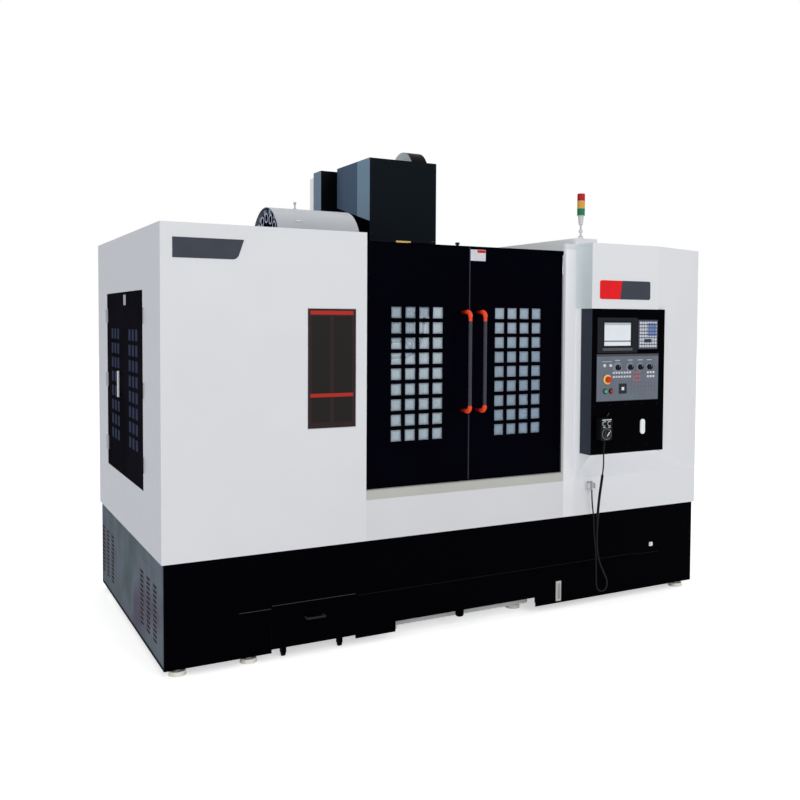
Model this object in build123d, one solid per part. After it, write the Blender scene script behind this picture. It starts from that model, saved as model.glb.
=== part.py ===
from build123d import *
import math
import os

# Vertical machining centre, millimetres, Z up from the floor.
# Working axes: X runs right along the front, Y runs back from the front panels.
# Every piece is moved by front_y when it is written, so that the row's origin
# is at the bottom centre of the whole machine.

# Enclosure
enclosure_width = 3700.0
enclosure_depth = 1886.0
floor_gap = 45.0
skirt_height = 560.0
panel_height = 1760.0
sheet = 3.0
flange = 22.0
skirt_inset = 12.0
seat_gap = 0.3

# Front doors
opening_half = 698.0
door_sill_z = 895.0
sill_height = 55.0
header_height = 50.0
door_recess = 30.0
door_depth = 40.0
door_side_gap = 3.0
door_seam = 1.5
pane_size = 67.0
pane_pitch_x = 92.0
pane_pitch_z = 90.0
pane_columns = 4
pane_rows = 9
window_centre_x = 357.0
window_centre_z = 1556.0
window_glass = 6.0
window_margin = 14.0
handle_x = 52.0
handle_reach = 98.0
handle_radius = 11.0
handle_foot_radius = 14.0
handle_tip_radius = 8.0
handle_low_z = 1357.0
handle_high_z = 1893.0
handle_bend = 29.0
rail_half = 1312.0
rail_top = 6.0
rail_lip = 18.0

# Side service doors, left wall
side_open_y0 = 435.0
side_open_rear = 340.0
side_open_z0 = 918.0
side_open_z1 = 2029.0
leaf_gap = 2.0
leaf_depth = 28.0
side_pane_y = 78.0
side_pane_pitch_y = 98.0
side_pane_columns = 3
side_pane_rows = 8
side_window_z = 1459.5
hinge_radius = 5.0
hinge_offset = 5.3
hinge_length = 90.0
grip_length = 157.0
grip_radius = 8.0
grip_standoff = 20.0

# Console
shroud_x0 = 782.0
shroud_x1 = 1330.0
shroud_reach = 165.0
shroud_foot_z = 845.0
case_x0 = 785.0
case_x1 = 1392.0
case_z0 = 1023.0
case_z1 = 1952.0
case_backing = 56.0
case_wall = 3.0
display_x0 = 827.0
display_x1 = 1156.0
display_z0 = 1670.0
display_z1 = 1896.0
display_thick = 6.0
screen_left = 53.0
screen_right = 57.0
screen_low = 46.0
screen_high = 32.0
keypad_x0 = 1162.0
keypad_x1 = 1328.0
keypad_z0 = 1693.0
keypad_z1 = 1883.0
keypad_thick = 4.0
controls_x0 = 825.0
controls_x1 = 1336.0
controls_z0 = 1364.0
controls_z1 = 1661.0
controls_thick = 5.0
cutout_lip = 20.0
compartment_x0 = 956.0
compartment_x1 = 1288.0
compartment_z0 = 1062.0
compartment_z1 = 1288.0
compartment_door_thick = 14.0
knob_radius = 17.0
knob_height = 20.0
knob_z = 1577.0
knob_xs = (992.0, 1096.0, 1180.0, 1257.0)
stop_x = 907.0
stop_z = 1502.0
stop_head_radius = 20.0
stop_collar_radius = 31.0
stop_travel = 6.0
push_radius = 12.0
push_z = 1427.0
push_xs = (893.0, 940.0)
push_travel = 4.0
stem_radius = 6.0
stem_clearance = 0.3
pendant_x = 875.5
pendant_width = 91.0
pendant_z0 = 1118.0
pendant_z1 = 1259.0
pendant_depth = 48.0
pendant_corner = 14.0
dial_radius = 30.0
dial_height = 13.0
dial_z = 1160.0
crank_radius = 5.0
crank_height = 14.0

# Signal lamp and cable duct
duct_x0 = 782.0
duct_x1 = 950.0
duct_height = 41.0
lamp_x = 838.0
lamp_y = 30.0
lamp_radius = 25.0
lamp_body_low_radius = 14.0
lamp_body_high_radius = 19.0
lamp_pitch = 46.5
lamp_stem_radius = 7.0
lamp_body_z = 2497.0
lamp_first_z = 2556.0

# Bed, feet and pans
bed_half = 520.0
bed_front_y = 110.0
bed_overhang = 234.0
bed_deck_z = 520.0
way_top_z = 600.0
way_inner = 290.0
way_outer = 430.0
way_lip = 25.0
way_neck = 18.0
bed_chamfer = 24.0
column_seat_z = 640.0
bed_window_y = 260.0
bed_window_z0 = 180.0
bed_window_z1 = 370.0
bed_window_pitch = 390.0
casting_recess = 18.0
trough_half = 150.0
trough_depth = 60.0
foot_radius = 47.0
foot_pad = 24.0
foot_nut = 19.0
foot_inset_x = 95.0
foot_second_x = 480.0
ledge_length = 540.0
ledge_front = 130.0
ledge_rear = 150.0

# Column
column_half = 382.0
column_setback = 410.0
column_flange = 144.0
column_back_half = 300.0
column_foot_back = 194.0
column_top_back = 14.0
column_top_z = 2943.0
column_window_zs = (1150.0, 1650.0, 2150.0)
column_window_half = 160.0
z_way_inner = 170.0
z_way_outer = 250.0
z_way_height = 36.0
z_way_low = 1400.0
lifting_x = 440.0
lifting_y = 140.0
lifting_back = 294.0
lifting_radius = 12.0
lifting_depth = 50.0

# Saddle and table
way_film = 0.3
spindle_reach = 720.0
saddle_half_x = 560.0
saddle_half_y = 340.0
saddle_deck_z = 790.0
saddle_pocket_y = 230.0
saddle_pocket_z = 110.0
x_way_top_z = 860.0
x_way_inner = 200.0
x_way_outer = 290.0
table_half_x = 700.0
table_half_y = 300.0
table_top_z = 1000.0
slot_width = 18.0
slot_head_width = 32.0
slot_neck = 22.0
slot_head = 15.0
slot_pitch = 110.0
slot_count = 5

# Head and spindle
head_half = 160.0
head_top_z = 2340.0
head_low_z = 2015.0
head_nose_reach = 156.0
head_slide_z0 = 1850.0
head_slide_z1 = 2760.0
head_slide_depth = 110.0
quill_radius = 118.0
quill_foot_z = 1976.0
quill_lip = 26.0
head_chamfer = 34.0
nozzle_count = 6
nozzle_ring = 106.0
nozzle_radius = 6.0
nozzle_length = 26.0
nozzle_lean = 20.0
nose_radius = 64.25
nose_height = 30.0
nose_z = 1945.0
spindle_radius = 46.0
spindle_running = 0.05
taper_mouth_radius = 34.925
taper_end_radius = 20.1
taper_depth = 101.8
cover_half = 257.0
cover_setback = 160.0
cover_top_z = 2965.0
cover_wall = 4.0
motor_half = 130.0
motor_setback = 424.0
motor_height = 470.0
z_motor_back = 174.0
z_motor_half = 90.0
z_motor_sink = 100.0

# Guard over the chain wheel on the column
guard_x0 = 262.0
guard_width = 130.0
guard_reach = 14.0
guard_z = 2943.0
guard_radius = 185.0

# Tool changer
magazine_z = 2297.0
magazine_left_x = -1043.0
magazine_right_x = -512.0
magazine_cover_radius = 265.0
pot_ring_radius = 200.0
pot_count = 16
pot_radius = 31.0
pot_length = 105.0
pot_offset = 8.0
pot_bore = 22.0
pot_bore_depth = 60.0
disc_radius = 222.0
disc_thick = 22.0
hub_radius = 60.0
changer_x = -480.0
drive_box_x0 = -850.0
drive_box_x1 = -545.0
drive_box_half = 130.0
arm_z0 = 1862.0
arm_thick = 38.0
arm_reach = 480.0
arm_width = 74.0
gripper_radius = 62.0
gripper_bore = 34.0
changer_shaft_radius = 34.0
changer_housing_radius = 75.0

# Chip drawer, tank and cabinet
drawer_x0 = -1258.0
drawer_x1 = -757.0
drawer_z0 = 65.0
drawer_z1 = 303.0
drawer_length = 880.0
drawer_gap = 0.8
drawer_wheel_radius = 21.0
drawer_handle_x = -1010.0
drawer_handle_half = 52.0
drawer_handle_z = 216.0
notch_half = 500.0
notch_height = 60.0
notch_fold = 40.0
gauge_x = 679.5
gauge_width = 41.0
gauge_z0 = 60.0
gauge_z1 = 188.0
gauge_depth = 8.0
cock_x = -50.0
cock_radius = 26.0
cock_drop = 43.0
chute_x0 = -762.0
chute_x1 = -597.0
chute_z = 360.0
pan_edge_z = 500.0
pan_thick = 4.0
tank_length = 900.0
tank_side_gap = 350.0
tank_leg = 90.0
tank_y0 = 15.0
tank_y1 = 900.0
tank_z1 = 300.0
cabinet_x0 = 560.0
cabinet_x1 = 1700.0
cabinet_depth = 411.0
cabinet_z0 = 250.0
cabinet_z1 = 2250.0
cabinet_door = 25.0
cabinet_handle = 30.0
cabinet_vent_length = 170.0
cabinet_vent_height = 9.0
cabinet_vent_pitch = 22.0
cabinet_vent_rows = 9

# Louvre slots in the side skirts
slot_rows = 15
slot_columns = 3
louvre_length = 62.0
louvre_height = 11.0
louvre_pitch_z = 26.0
louvre_pitch_y = 150.0
louvre_rise = 26.0
louvre_low_z = 92.0
louvre_front_y = 318.0
louvre_rear = 286.0

# Pendant lead, from the pendant round its hanging loop to the sockets
lead_radius = 4.5
lead_gap = 0.5
lead_route = [
    (875.0, -190.0, 1116.0),
    (870.0, -190.0, 1040.0),
    (877.0, -186.0, 960.0),
    (868.0, -180.0, 860.0),
    (854.0, -174.0, 750.0),
    (850.0, -166.0, 640.0),
    (850.0, -158.0, 530.0),
    (862.0, -148.0, 420.0),
    (893.0, -136.0, 320.0),
    (945.0, -122.0, 240.0),
    (984.0, -110.0, 182.0),
    (984.0, -98.0, 122.0),
    (959.0, -80.0, 104.0),
    (933.0, -62.0, 122.0),
    (936.0, -54.0, 200.0),
    (940.0, -46.0, 310.0),
    (936.0, -42.0, 400.0),
    (924.0, -38.0, 500.0),
    (926.0, -34.0, 590.0),
    (912.0, -30.0, 690.0),
    (910.0, -30.0, 770.0),
]
socket_x = 910.0
socket_z = 771.0
socket_pitch = 26.0
socket_size = 22.0
socket_length = 44.0

# Worked out from the sizes above
half_width = enclosure_width / 2
tank_x1 = half_width - tank_side_gap
tank_x0 = tank_x1 - tank_length
side_open_y1 = enclosure_depth - side_open_rear
bed_rear_y = enclosure_depth + bed_overhang
column_flange_y = enclosure_depth - column_setback
column_base_y = enclosure_depth + column_foot_back
column_top_y = enclosure_depth + column_top_back
lifting_centre_y = column_flange_y + lifting_back
spindle_y = column_flange_y - spindle_reach
head_front_y = spindle_y - head_nose_reach
cover_front_y = spindle_y + cover_setback
motor_y = spindle_y + motor_setback
z_motor_y = column_flange_y + z_motor_back
guard_y = column_flange_y - guard_reach
louvre_group_ys = (louvre_front_y, enclosure_depth - louvre_rear)
skirt_top = floor_gap + skirt_height
panel_top = skirt_top + panel_height
header_z = panel_top - header_height
door_low_z = door_sill_z + 2.0
door_high_z = header_z - 2.0
case_front = -shroud_reach
cabinet_back = enclosure_depth + cabinet_depth
front_reach = shroud_reach + pendant_depth + seat_gap + dial_height + crank_height
rear_reach = cabinet_back + cabinet_door + cabinet_handle
front_y = front_reach - (front_reach + rear_reach) / 2


def block(x0, x1, y0, y1, z0, z1):
    return Pos((x0 + x1) / 2, (y0 + y1) / 2, (z0 + z1) / 2) * Box(x1 - x0, y1 - y0, z1 - z0)


def rod(axis, centre, radius, low, high):
    """Round bar along an axis; centre holds its two cross coordinates in X, Y, Z order."""
    mid, length = (low + high) / 2, high - low
    if axis == "x":
        return Pos(mid, *centre) * Rot(0, 90, 0) * Cylinder(radius, length)
    if axis == "y":
        return Pos(centre[0], mid, centre[1]) * Rot(90, 0, 0) * Cylinder(radius, length)
    return Pos(*centre, mid) * Cylinder(radius, length)


def prism_x(points, x0, x1):
    """Extrude a (y, z) outline from x0 to x1."""
    outline = make_face(Polyline(*points, close=True))
    return Pos(x0, 0, 0) * extrude(Plane.YZ * outline, amount=x1 - x0)


def prism_y(points, y0, y1):
    """Extrude an (x, z) outline from y0 to y1."""
    outline = make_face(Polyline(*points, close=True))
    return Pos(0, y1, 0) * extrude(Plane.XZ * outline, amount=y1 - y0)


def prism_z(points, z0, z1):
    """Extrude an (x, y) outline from z0 to z1."""
    outline = make_face(Polyline(*points, close=True))
    return Pos(0, 0, z0) * extrude(outline, amount=z1 - z0)


def mirrored(shape):
    return mirror(shape, about=Plane.YZ)


def grid(centre, pitch, count):
    return [centre + pitch * (i - (count - 1) / 2) for i in range(count)]


def folded_sheet(x0, x1, z0, z1, edges):
    """Front panel: a sheet with its named edges folded back by the flange."""
    panel = block(x0, x1, 0, sheet, z0, z1)
    folds = {
        "left": (x0, x0 + sheet, z0, z1),
        "right": (x1 - sheet, x1, z0, z1),
        "low": (x0 + sheet, x1 - sheet, z0, z0 + sheet),
        "high": (x0 + sheet, x1 - sheet, z1 - sheet, z1),
    }
    for edge in edges:
        a, b, c, d = folds[edge]
        panel += block(a, b, sheet, flange, c, d)
    return panel


# Castings


def bed():
    """Bed casting: box with side recesses, two undercut box ways and the column seat."""
    body = block(-bed_half, bed_half, bed_front_y, bed_rear_y, floor_gap, bed_deck_z)
    body = chamfer(body.edges().filter_by(Axis.Z), bed_chamfer)
    seat = block(
        -column_half, column_half, column_flange_y - 30, bed_rear_y, bed_deck_z, column_seat_z
    )
    for y in grid((bed_front_y + bed_rear_y) / 2, bed_window_pitch, 5):
        for x in (-bed_half, bed_half):
            body -= block(
                x - casting_recess, x + casting_recess, y - bed_window_y / 2,
                y + bed_window_y / 2, bed_window_z0, bed_window_z1,
            )
    body += seat
    for side in (-1, 1):
        neck = block(
            way_inner + way_neck, way_outer - way_neck, bed_front_y, column_flange_y - 40,
            bed_deck_z, way_top_z - way_lip,
        )
        lip = block(
            way_inner, way_outer, bed_front_y, column_flange_y - 40,
            way_top_z - way_lip, way_top_z,
        )
        way = neck + lip
        body += way if side > 0 else mirrored(way)
    trough = block(
        -trough_half, trough_half, bed_front_y - 1, column_flange_y - 60,
        bed_deck_z - trough_depth, bed_deck_z,
    )
    return body - trough


foot_places = [
    (x, y)
    for y in (bed_front_y + 90, (bed_front_y + bed_rear_y) / 2, bed_rear_y - 90)
    for x in (-bed_half + 70, bed_half - 70)
] + [
    (x, y)
    for y in (75.0, enclosure_depth - 90)
    for x in (foot_inset_x - half_width, foot_second_x - half_width, half_width - foot_inset_x)
]


def levelling_feet():
    feet = []
    for x, y in foot_places:
        pad = Pos(x, y, 0) * extrude(Circle(foot_radius), amount=foot_pad, taper=8)
        nut = Pos(x, y, foot_pad) * extrude(RegularPolygon(foot_nut, 6), amount=floor_gap - foot_pad)
        feet.append(pad + nut)
    return feet


def column():
    """Box column: front flange with box ways, tapered back, shallow side windows."""
    flange_plate = block(
        -column_half, column_half, column_flange_y, column_flange_y + column_flange,
        column_seat_z, column_top_z,
    )
    back = prism_x(
        [
            (column_flange_y + column_flange, column_seat_z),
            (column_base_y, column_seat_z),
            (column_base_y, column_seat_z + 300),
            (column_top_y, column_top_z - 400),
            (column_top_y, column_top_z),
            (column_flange_y + column_flange, column_top_z),
        ],
        -column_back_half,
        column_back_half,
    )
    body = flange_plate + back
    pocket = z_motor_half + 2
    body -= block(
        -pocket, pocket, z_motor_y - pocket, z_motor_y + pocket,
        column_top_z - z_motor_sink, column_top_z + 1,
    )
    for z in column_window_zs:
        for x in (-column_back_half, column_back_half):
            body -= block(
                x - casting_recess, x + casting_recess,
                column_flange_y + column_flange + 60, column_top_y - 60,
                z - column_window_half, z + column_window_half,
            )
    way = block(
        z_way_inner, z_way_outer, column_flange_y - z_way_height, column_flange_y,
        z_way_low, column_top_z - 60,
    )
    body += way + mirrored(way)
    for x in (-lifting_x / 2, lifting_x / 2):
        for y in (lifting_centre_y - lifting_y / 2, lifting_centre_y + lifting_y / 2):
            body -= rod("z", (x, y), lifting_radius, column_top_z - lifting_depth, column_top_z + 1)
    return body


def saddle():
    """Saddle casting with side pockets: keepers grip the bed ways, box ways carry the table."""
    y0, y1 = spindle_y - saddle_half_y, spindle_y + saddle_half_y
    low = way_top_z + way_film
    body = block(-saddle_half_x, saddle_half_x, y0, y1, low, saddle_deck_z)
    for x in (-saddle_half_x, saddle_half_x):
        for y in (spindle_y - saddle_half_y / 2, spindle_y + saddle_half_y / 2):
            body -= block(
                x - casting_recess, x + casting_recess, y - saddle_pocket_y / 2,
                y + saddle_pocket_y / 2, low + 30, low + 30 + saddle_pocket_z,
            )
    keeper = block(
        way_outer + way_film, way_outer + 80, y0, y1, way_top_z - way_lip - 30, low
    )
    clamp = block(
        way_outer - way_neck + 2, way_outer + 80, y0, y1,
        way_top_z - way_lip - 30, way_top_z - way_lip - way_film,
    )
    side = keeper + clamp
    body += side + mirrored(side)
    for centre in (-1, 1):
        near = spindle_y + centre * x_way_inner
        far = spindle_y + centre * x_way_outer
        body += block(
            -saddle_half_x, saddle_half_x, min(near, far), max(near, far),
            saddle_deck_z, x_way_top_z,
        )
    return body


def table():
    """T-slot table with a coolant gutter round its edge and a guide between the ways."""
    low = x_way_top_z + way_film
    y0, y1 = spindle_y - table_half_y, spindle_y + table_half_y
    body = block(-table_half_x, table_half_x, y0, y1, low, table_top_z)
    guide = block(
        -table_half_x, table_half_x, spindle_y - x_way_inner + 0.5,
        spindle_y + x_way_inner - 0.5, low - 40, low,
    )
    apron_front = block(
        -table_half_x, table_half_x, y0, spindle_y - x_way_outer - 0.5, low - 50, low
    )
    apron_back = block(
        -table_half_x, table_half_x, spindle_y + x_way_outer + 0.5, y1, low - 50, low
    )
    body += guide + apron_front + apron_back
    gutter = 14.0
    ring = block(
        -table_half_x + 16, table_half_x - 16, y0 + 16, y1 - 16,
        table_top_z - 9, table_top_z,
    ) - block(
        -table_half_x + 16 + gutter, table_half_x - 16 - gutter,
        y0 + 16 + gutter, y1 - 16 - gutter, table_top_z - 9, table_top_z,
    )
    body -= ring
    slot_low = table_top_z - slot_neck - slot_head
    for y in grid(spindle_y, slot_pitch, slot_count):
        half_neck, half_head = slot_width / 2, slot_head_width / 2
        outline = [
            (y - half_neck, table_top_z + 1),
            (y - half_neck, slot_low + slot_head),
            (y - half_head, slot_low + slot_head),
            (y - half_head, slot_low),
            (y + half_head, slot_low),
            (y + half_head, slot_low + slot_head),
            (y + half_neck, slot_low + slot_head),
            (y + half_neck, table_top_z + 1),
        ]
        body -= prism_x(outline, -table_half_x - 1, table_half_x + 1)
    return body


def head():
    """Head casting: slide on the column ways, arm, quill with coolant nozzles, belt case."""
    back = column_flange_y - z_way_height - way_film
    slide = block(
        -z_way_outer, z_way_outer, back - head_slide_depth, back, head_slide_z0, head_slide_z1
    )
    arm = prism_x(
        [
            (head_front_y, head_low_z + 60),
            (head_front_y + 60, head_low_z),
            (spindle_y + quill_radius, head_low_z),
            (back - head_slide_depth, head_low_z - 120),
            (back - head_slide_depth, head_top_z),
            (head_front_y, head_top_z),
        ],
        -head_half,
        head_half,
    )
    nose_edges = arm.edges().filter_by(Axis.Z).group_by(Axis.Y)[0]
    arm = chamfer(nose_edges, head_chamfer)
    quill = rod("z", (0, spindle_y), quill_radius, quill_foot_z + 16, head_low_z + 60)
    lip = rod("z", (0, spindle_y), quill_radius - quill_lip, quill_foot_z, quill_foot_z + 16)
    nozzle = Pos(nozzle_ring, 0, quill_foot_z + 16) * Rot(0, nozzle_lean, 0) * Cone(
        nozzle_radius / 2, nozzle_radius, nozzle_length, align=(Align.CENTER, Align.CENTER, Align.MAX)
    )
    belt = prism_z(
        [
            (-110, spindle_y - 70), (-60, spindle_y - 120), (60, spindle_y - 120),
            (110, spindle_y - 70), (110, motor_y - motor_half - 1),
            (-110, motor_y - motor_half - 1),
        ],
        head_top_z,
        head_top_z + 42,
    )
    body = slide + arm + quill + lip + belt
    for index in range(nozzle_count):
        angle = 360 * (index + 0.5) / nozzle_count
        body += Pos(0, spindle_y, 0) * Rot(0, 0, angle) * nozzle
    return body - rod(
        "z", (0, spindle_y), spindle_radius + spindle_running, quill_foot_z - 1, head_top_z - 40
    )


def head_cover():
    """Tall sheet cover over the spindle motor, open below and towards the column."""
    outer = block(
        -cover_half, cover_half, cover_front_y, column_flange_y - 2,
        head_top_z + 43, cover_top_z,
    )
    inner = block(
        -cover_half + cover_wall, cover_half - cover_wall, cover_front_y + cover_wall,
        column_flange_y, head_top_z + 42, cover_top_z - cover_wall,
    )
    ways_notch = block(
        -z_way_outer - 2, z_way_outer + 2, column_flange_y - z_way_height - 1, column_flange_y,
        cover_top_z - 2 * cover_wall, cover_top_z + 1,
    )
    shell = outer - inner - ways_notch
    foot = block(
        motor_half + 2, cover_half - cover_wall, cover_front_y + cover_wall,
        motor_y, head_top_z, head_top_z + 46,
    )
    return shell + foot + mirrored(foot)


def spindle():
    """Spindle: nose flange with taper socket and drive keys, and its shaft."""
    body = rod("z", (0, spindle_y), nose_radius, nose_z, nose_z + nose_height)
    body += rod("z", (0, spindle_y), spindle_radius, nose_z + nose_height, head_top_z - 42)
    cone = Pos(0, spindle_y, nose_z + taper_depth / 2) * Cone(
        taper_mouth_radius, taper_end_radius, taper_depth
    )
    body -= cone
    body -= rod("z", (0, spindle_y), 13.0, nose_z + taper_depth, nose_z + taper_depth + 60)
    key = block(
        taper_mouth_radius + 3, nose_radius - 3, spindle_y - 12, spindle_y + 12,
        nose_z - 8, nose_z,
    )
    return body + key + mirrored(key)


def spindle_motor():
    body = block(
        -motor_half, motor_half, motor_y - motor_half, motor_y + motor_half,
        head_top_z, head_top_z + motor_height,
    )
    body = chamfer(body.edges().filter_by(Axis.Z), 34.0)
    fan = rod(
        "z", (0, motor_y), motor_half - 20, head_top_z + motor_height,
        head_top_z + motor_height + 60,
    )
    return body + fan


def z_motor():
    """Feed motor of the head, on its flange in a pocket of the column top."""
    y, half, z = z_motor_y, z_motor_half, column_top_z - z_motor_sink
    flange_plate = block(-half, half, y - half, y + half, z, z + 20)
    body = block(-65, 65, y - 65, y + 65, z + 20, z + 140)
    return flange_plate + chamfer(body.edges().filter_by(Axis.Z), 14.0)


def chain_guard():
    """Half-round guard over the chain wheel, standing on the column flange."""
    disc = rod("x", (guard_y, guard_z), guard_radius, guard_x0, guard_x0 + guard_width)
    upper = block(
        guard_x0 - 1, guard_x0 + guard_width + 1, guard_y - 250, guard_y + 250,
        guard_z, guard_z + 250,
    )
    shell = disc & upper
    cavity = rod(
        "x", (guard_y, guard_z), guard_radius - 4, guard_x0 + 4, guard_x0 + guard_width - 4
    )
    return shell - cavity


# Enclosure


def left_front_panel():
    return folded_sheet(-half_width, -opening_half, skirt_top, panel_top, ("right", "low", "high"))


def right_front_panel():
    return folded_sheet(opening_half, half_width, skirt_top, panel_top, ("left", "low", "high"))


def lower_front_panel():
    panel = folded_sheet(
        -opening_half, opening_half, skirt_top, door_sill_z - sill_height, ("low", "high")
    )
    return panel


def front_sill():
    """Front rail under the doors, with the guide rib that the doors stand on."""
    face_low = door_sill_z - sill_height
    front = prism_x(
        [
            (0, face_low), (0, door_sill_z - 6), (6, door_sill_z),
            (door_recess + door_depth + 8, door_sill_z),
            (door_recess + door_depth + 8, door_sill_z - sheet),
            (9, door_sill_z - sheet), (sheet, face_low + 8), (sheet, face_low),
        ],
        -opening_half,
        opening_half,
    )
    rib = block(
        -rail_half, rail_half, door_recess + 14, door_recess + 26,
        door_sill_z - 24, door_low_z - seat_gap,
    )
    return front + rib


def door_header():
    """Top rail of the doors: a cap over them, a lip behind them and its end brackets."""
    back = door_recess + door_depth
    top_z = header_z + rail_top
    cap = block(-rail_half, rail_half, door_recess, back + 5, header_z, top_z)
    lip = block(-rail_half, rail_half, back + 1, back + 5, header_z - rail_lip, header_z)
    bracket = block(rail_half - 12, rail_half, sheet, back + 5, header_z, top_z + 30)
    return cap + lip + bracket + mirrored(bracket)


def side_wall(with_opening):
    """Left side wall; the same wall mirrored without its opening is the right one."""
    x0 = -half_width
    y0, y1 = sheet, enclosure_depth - sheet
    wall = block(x0, x0 + sheet, y0, y1, skirt_top, panel_top)
    wall += block(x0 + sheet, x0 + flange, y0 + flange, y1 - flange, skirt_top, skirt_top + sheet)
    wall += block(x0 + sheet, x0 + flange, y0 + flange, y1 - flange, panel_top - sheet, panel_top)
    if with_opening:
        wall -= block(
            x0 - 1, x0 + sheet + 1, side_open_y0, side_open_y1, side_open_z0, side_open_z1
        )
        depth = x0 + leaf_depth + 4
        frame = block(
            x0 + sheet, depth, side_open_y0 - sheet, side_open_y1 + sheet,
            side_open_z0 - sheet, side_open_z1 + sheet,
        )
        hole = block(
            x0, depth + 1, side_open_y0, side_open_y1, side_open_z0, side_open_z1
        )
        wall += frame - hole
    return wall


def rear_panels():
    y1 = enclosure_depth
    inner = column_back_half + seat_gap
    left = block(-half_width, -inner, y1 - sheet, y1, skirt_top, panel_top)
    left += block(
        -half_width + flange, -inner, y1 - flange, y1 - sheet, panel_top - sheet, panel_top
    )
    left -= block(
        -column_half - seat_gap, 0, y1 - flange, y1 + 1, skirt_top - 1, column_seat_z + seat_gap
    )
    return [left, mirrored(left)]


def base_front():
    """Front skirt: one upper plate and four lower ones round the drawer and the notch."""
    y0, y1 = skirt_inset, skirt_inset + sheet
    half = half_width - skirt_inset
    notch_z = floor_gap + notch_height
    upper = block(-half, half, y0, y1, drawer_z1, skirt_top)
    upper += block(-half + 30, half - 30, y1, y1 + 20, skirt_top - sheet, skirt_top)
    plates = [
        block(x0, x1, y0, y1, floor_gap, drawer_z1)
        for x0, x1 in ((-half, drawer_x0), (drawer_x1, -notch_half), (notch_half, half))
    ]
    over_notch = block(-notch_half, notch_half, y0, y1, notch_z, drawer_z1)
    over_notch += block(-notch_half, notch_half, y1, y1 + notch_fold, notch_z, notch_z + sheet)
    gauge = block(
        gauge_x - gauge_width / 2, gauge_x + gauge_width / 2, y0 - gauge_depth, y0,
        gauge_z0, gauge_z1,
    )
    gauge = chamfer(gauge.edges().filter_by(Axis.Z).sort_by(Axis.Y)[:2], 0.6 * gauge_depth)
    cock = rod("z", (cock_x, y0 + cock_radius - 2), cock_radius, notch_z - cock_drop, notch_z)
    cock = fillet(cock.edges().sort_by(Axis.Z)[0], cock_radius / 2)
    return [upper, *plates, over_notch, gauge, cock]


def louvres(x0):
    """Two groups of slanted louvre slots, as the cutters for one side skirt."""
    half = louvre_length / 2
    slots = []
    for group in louvre_group_ys:
        for column_index, y in enumerate(grid(group, louvre_pitch_y, slot_columns)):
            for row in range(slot_rows):
                z = louvre_low_z + row * louvre_pitch_z + (column_index % 2) * louvre_pitch_z / 2
                outline = [
                    (y - half, z), (y + half, z + louvre_rise),
                    (y + half, z + louvre_rise + louvre_height), (y - half, z + louvre_height),
                ]
                slots.append(prism_x(outline, x0 - 1, x0 + sheet + 1))
    return slots


def base_skirts():
    """Side skirts with louvres, the ledges that stand on the feet, and the rear skirts."""
    x0 = -half_width + skirt_inset
    y0, y1 = skirt_inset + sheet, enclosure_depth - skirt_inset
    side = block(x0, x0 + sheet, y0, y1, floor_gap, skirt_top)
    side += block(x0 + sheet, x0 + flange, y0, y1, skirt_top - sheet, skirt_top)
    side -= louvres(x0)
    ledge_x = x0 + sheet, x0 + ledge_length
    front_ledge = block(*ledge_x, y0, y0 + ledge_front, floor_gap, floor_gap + sheet)
    rear_ledge = block(*ledge_x, y1 - ledge_rear, y1, floor_gap, floor_gap + sheet)
    inner = bed_half + seat_gap
    rear = block(x0, -inner, y1, y1 + sheet, floor_gap, skirt_top)
    rear += block(x0 + 30, -inner, y1 + sheet, y1 + 10, skirt_top - sheet, skirt_top)
    left = [side, front_ledge, rear_ledge, rear]
    return left + [mirrored(piece) for piece in left]


def chip_pans():
    """Sloped sheet pans on both sides of the bed, falling to a chute over the drawer."""
    outer = -half_width + skirt_inset + sheet + 2
    inner = -bed_half
    pan = prism_y(
        [
            (outer, skirt_top - 6), (outer + pan_thick, skirt_top - 6),
            (outer + pan_thick, pan_edge_z + pan_thick), (chute_x0 + 2, chute_z + pan_thick),
            (chute_x1 - 3, chute_z + pan_thick), (inner - pan_thick, pan_edge_z + pan_thick),
            (inner - pan_thick, pan_edge_z + 60), (inner, pan_edge_z + 60),
            (inner, pan_edge_z), (chute_x1, chute_z), (chute_x0, chute_z), (outer, pan_edge_z),
        ],
        bed_front_y - 60,
        column_flange_y,
    )
    return [pan, mirrored(pan)]


# Doors


def door_leaf(side):
    """Sliding door: folded sheet with its grid of panes cut through."""
    x0 = -opening_half + door_side_gap
    x1 = -door_seam
    y0, y1 = door_recess, door_recess + door_depth
    leaf = block(x0, x1, y0, y1, door_low_z, door_high_z)
    leaf -= block(
        x0 + sheet, x1 - sheet, y0 + sheet, y1 + 1, door_low_z + sheet, door_high_z - sheet
    )
    frame = window_margin + 10
    half_x = (pane_pitch_x * (pane_columns - 1) + pane_size) / 2 + frame
    half_z = (pane_pitch_z * (pane_rows - 1) + pane_size) / 2 + frame
    rim = block(
        -window_centre_x - half_x - 6, -window_centre_x + half_x + 6, y0 + sheet, y1 - 8,
        window_centre_z - half_z - 6, window_centre_z + half_z + 6,
    ) - block(
        -window_centre_x - half_x, -window_centre_x + half_x, y0 + sheet, y1,
        window_centre_z - half_z, window_centre_z + half_z,
    )
    leaf += rim
    panes = [
        block(x - pane_size / 2, x + pane_size / 2, y0 - 1, y0 + sheet + 1,
              z - pane_size / 2, z + pane_size / 2)
        for x in grid(-window_centre_x, pane_pitch_x, pane_columns)
        for z in grid(window_centre_z, pane_pitch_z, pane_rows)
    ]
    leaf -= panes
    return leaf if side < 0 else mirrored(leaf)


def door_glass(side):
    half_x = (pane_pitch_x * (pane_columns - 1) + pane_size) / 2 + window_margin
    half_z = (pane_pitch_z * (pane_rows - 1) + pane_size) / 2 + window_margin
    y0 = door_recess + sheet
    x = side * window_centre_x
    return block(
        x - half_x, x + half_x, y0, y0 + window_glass,
        window_centre_z - half_z, window_centre_z + half_z,
    )


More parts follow.
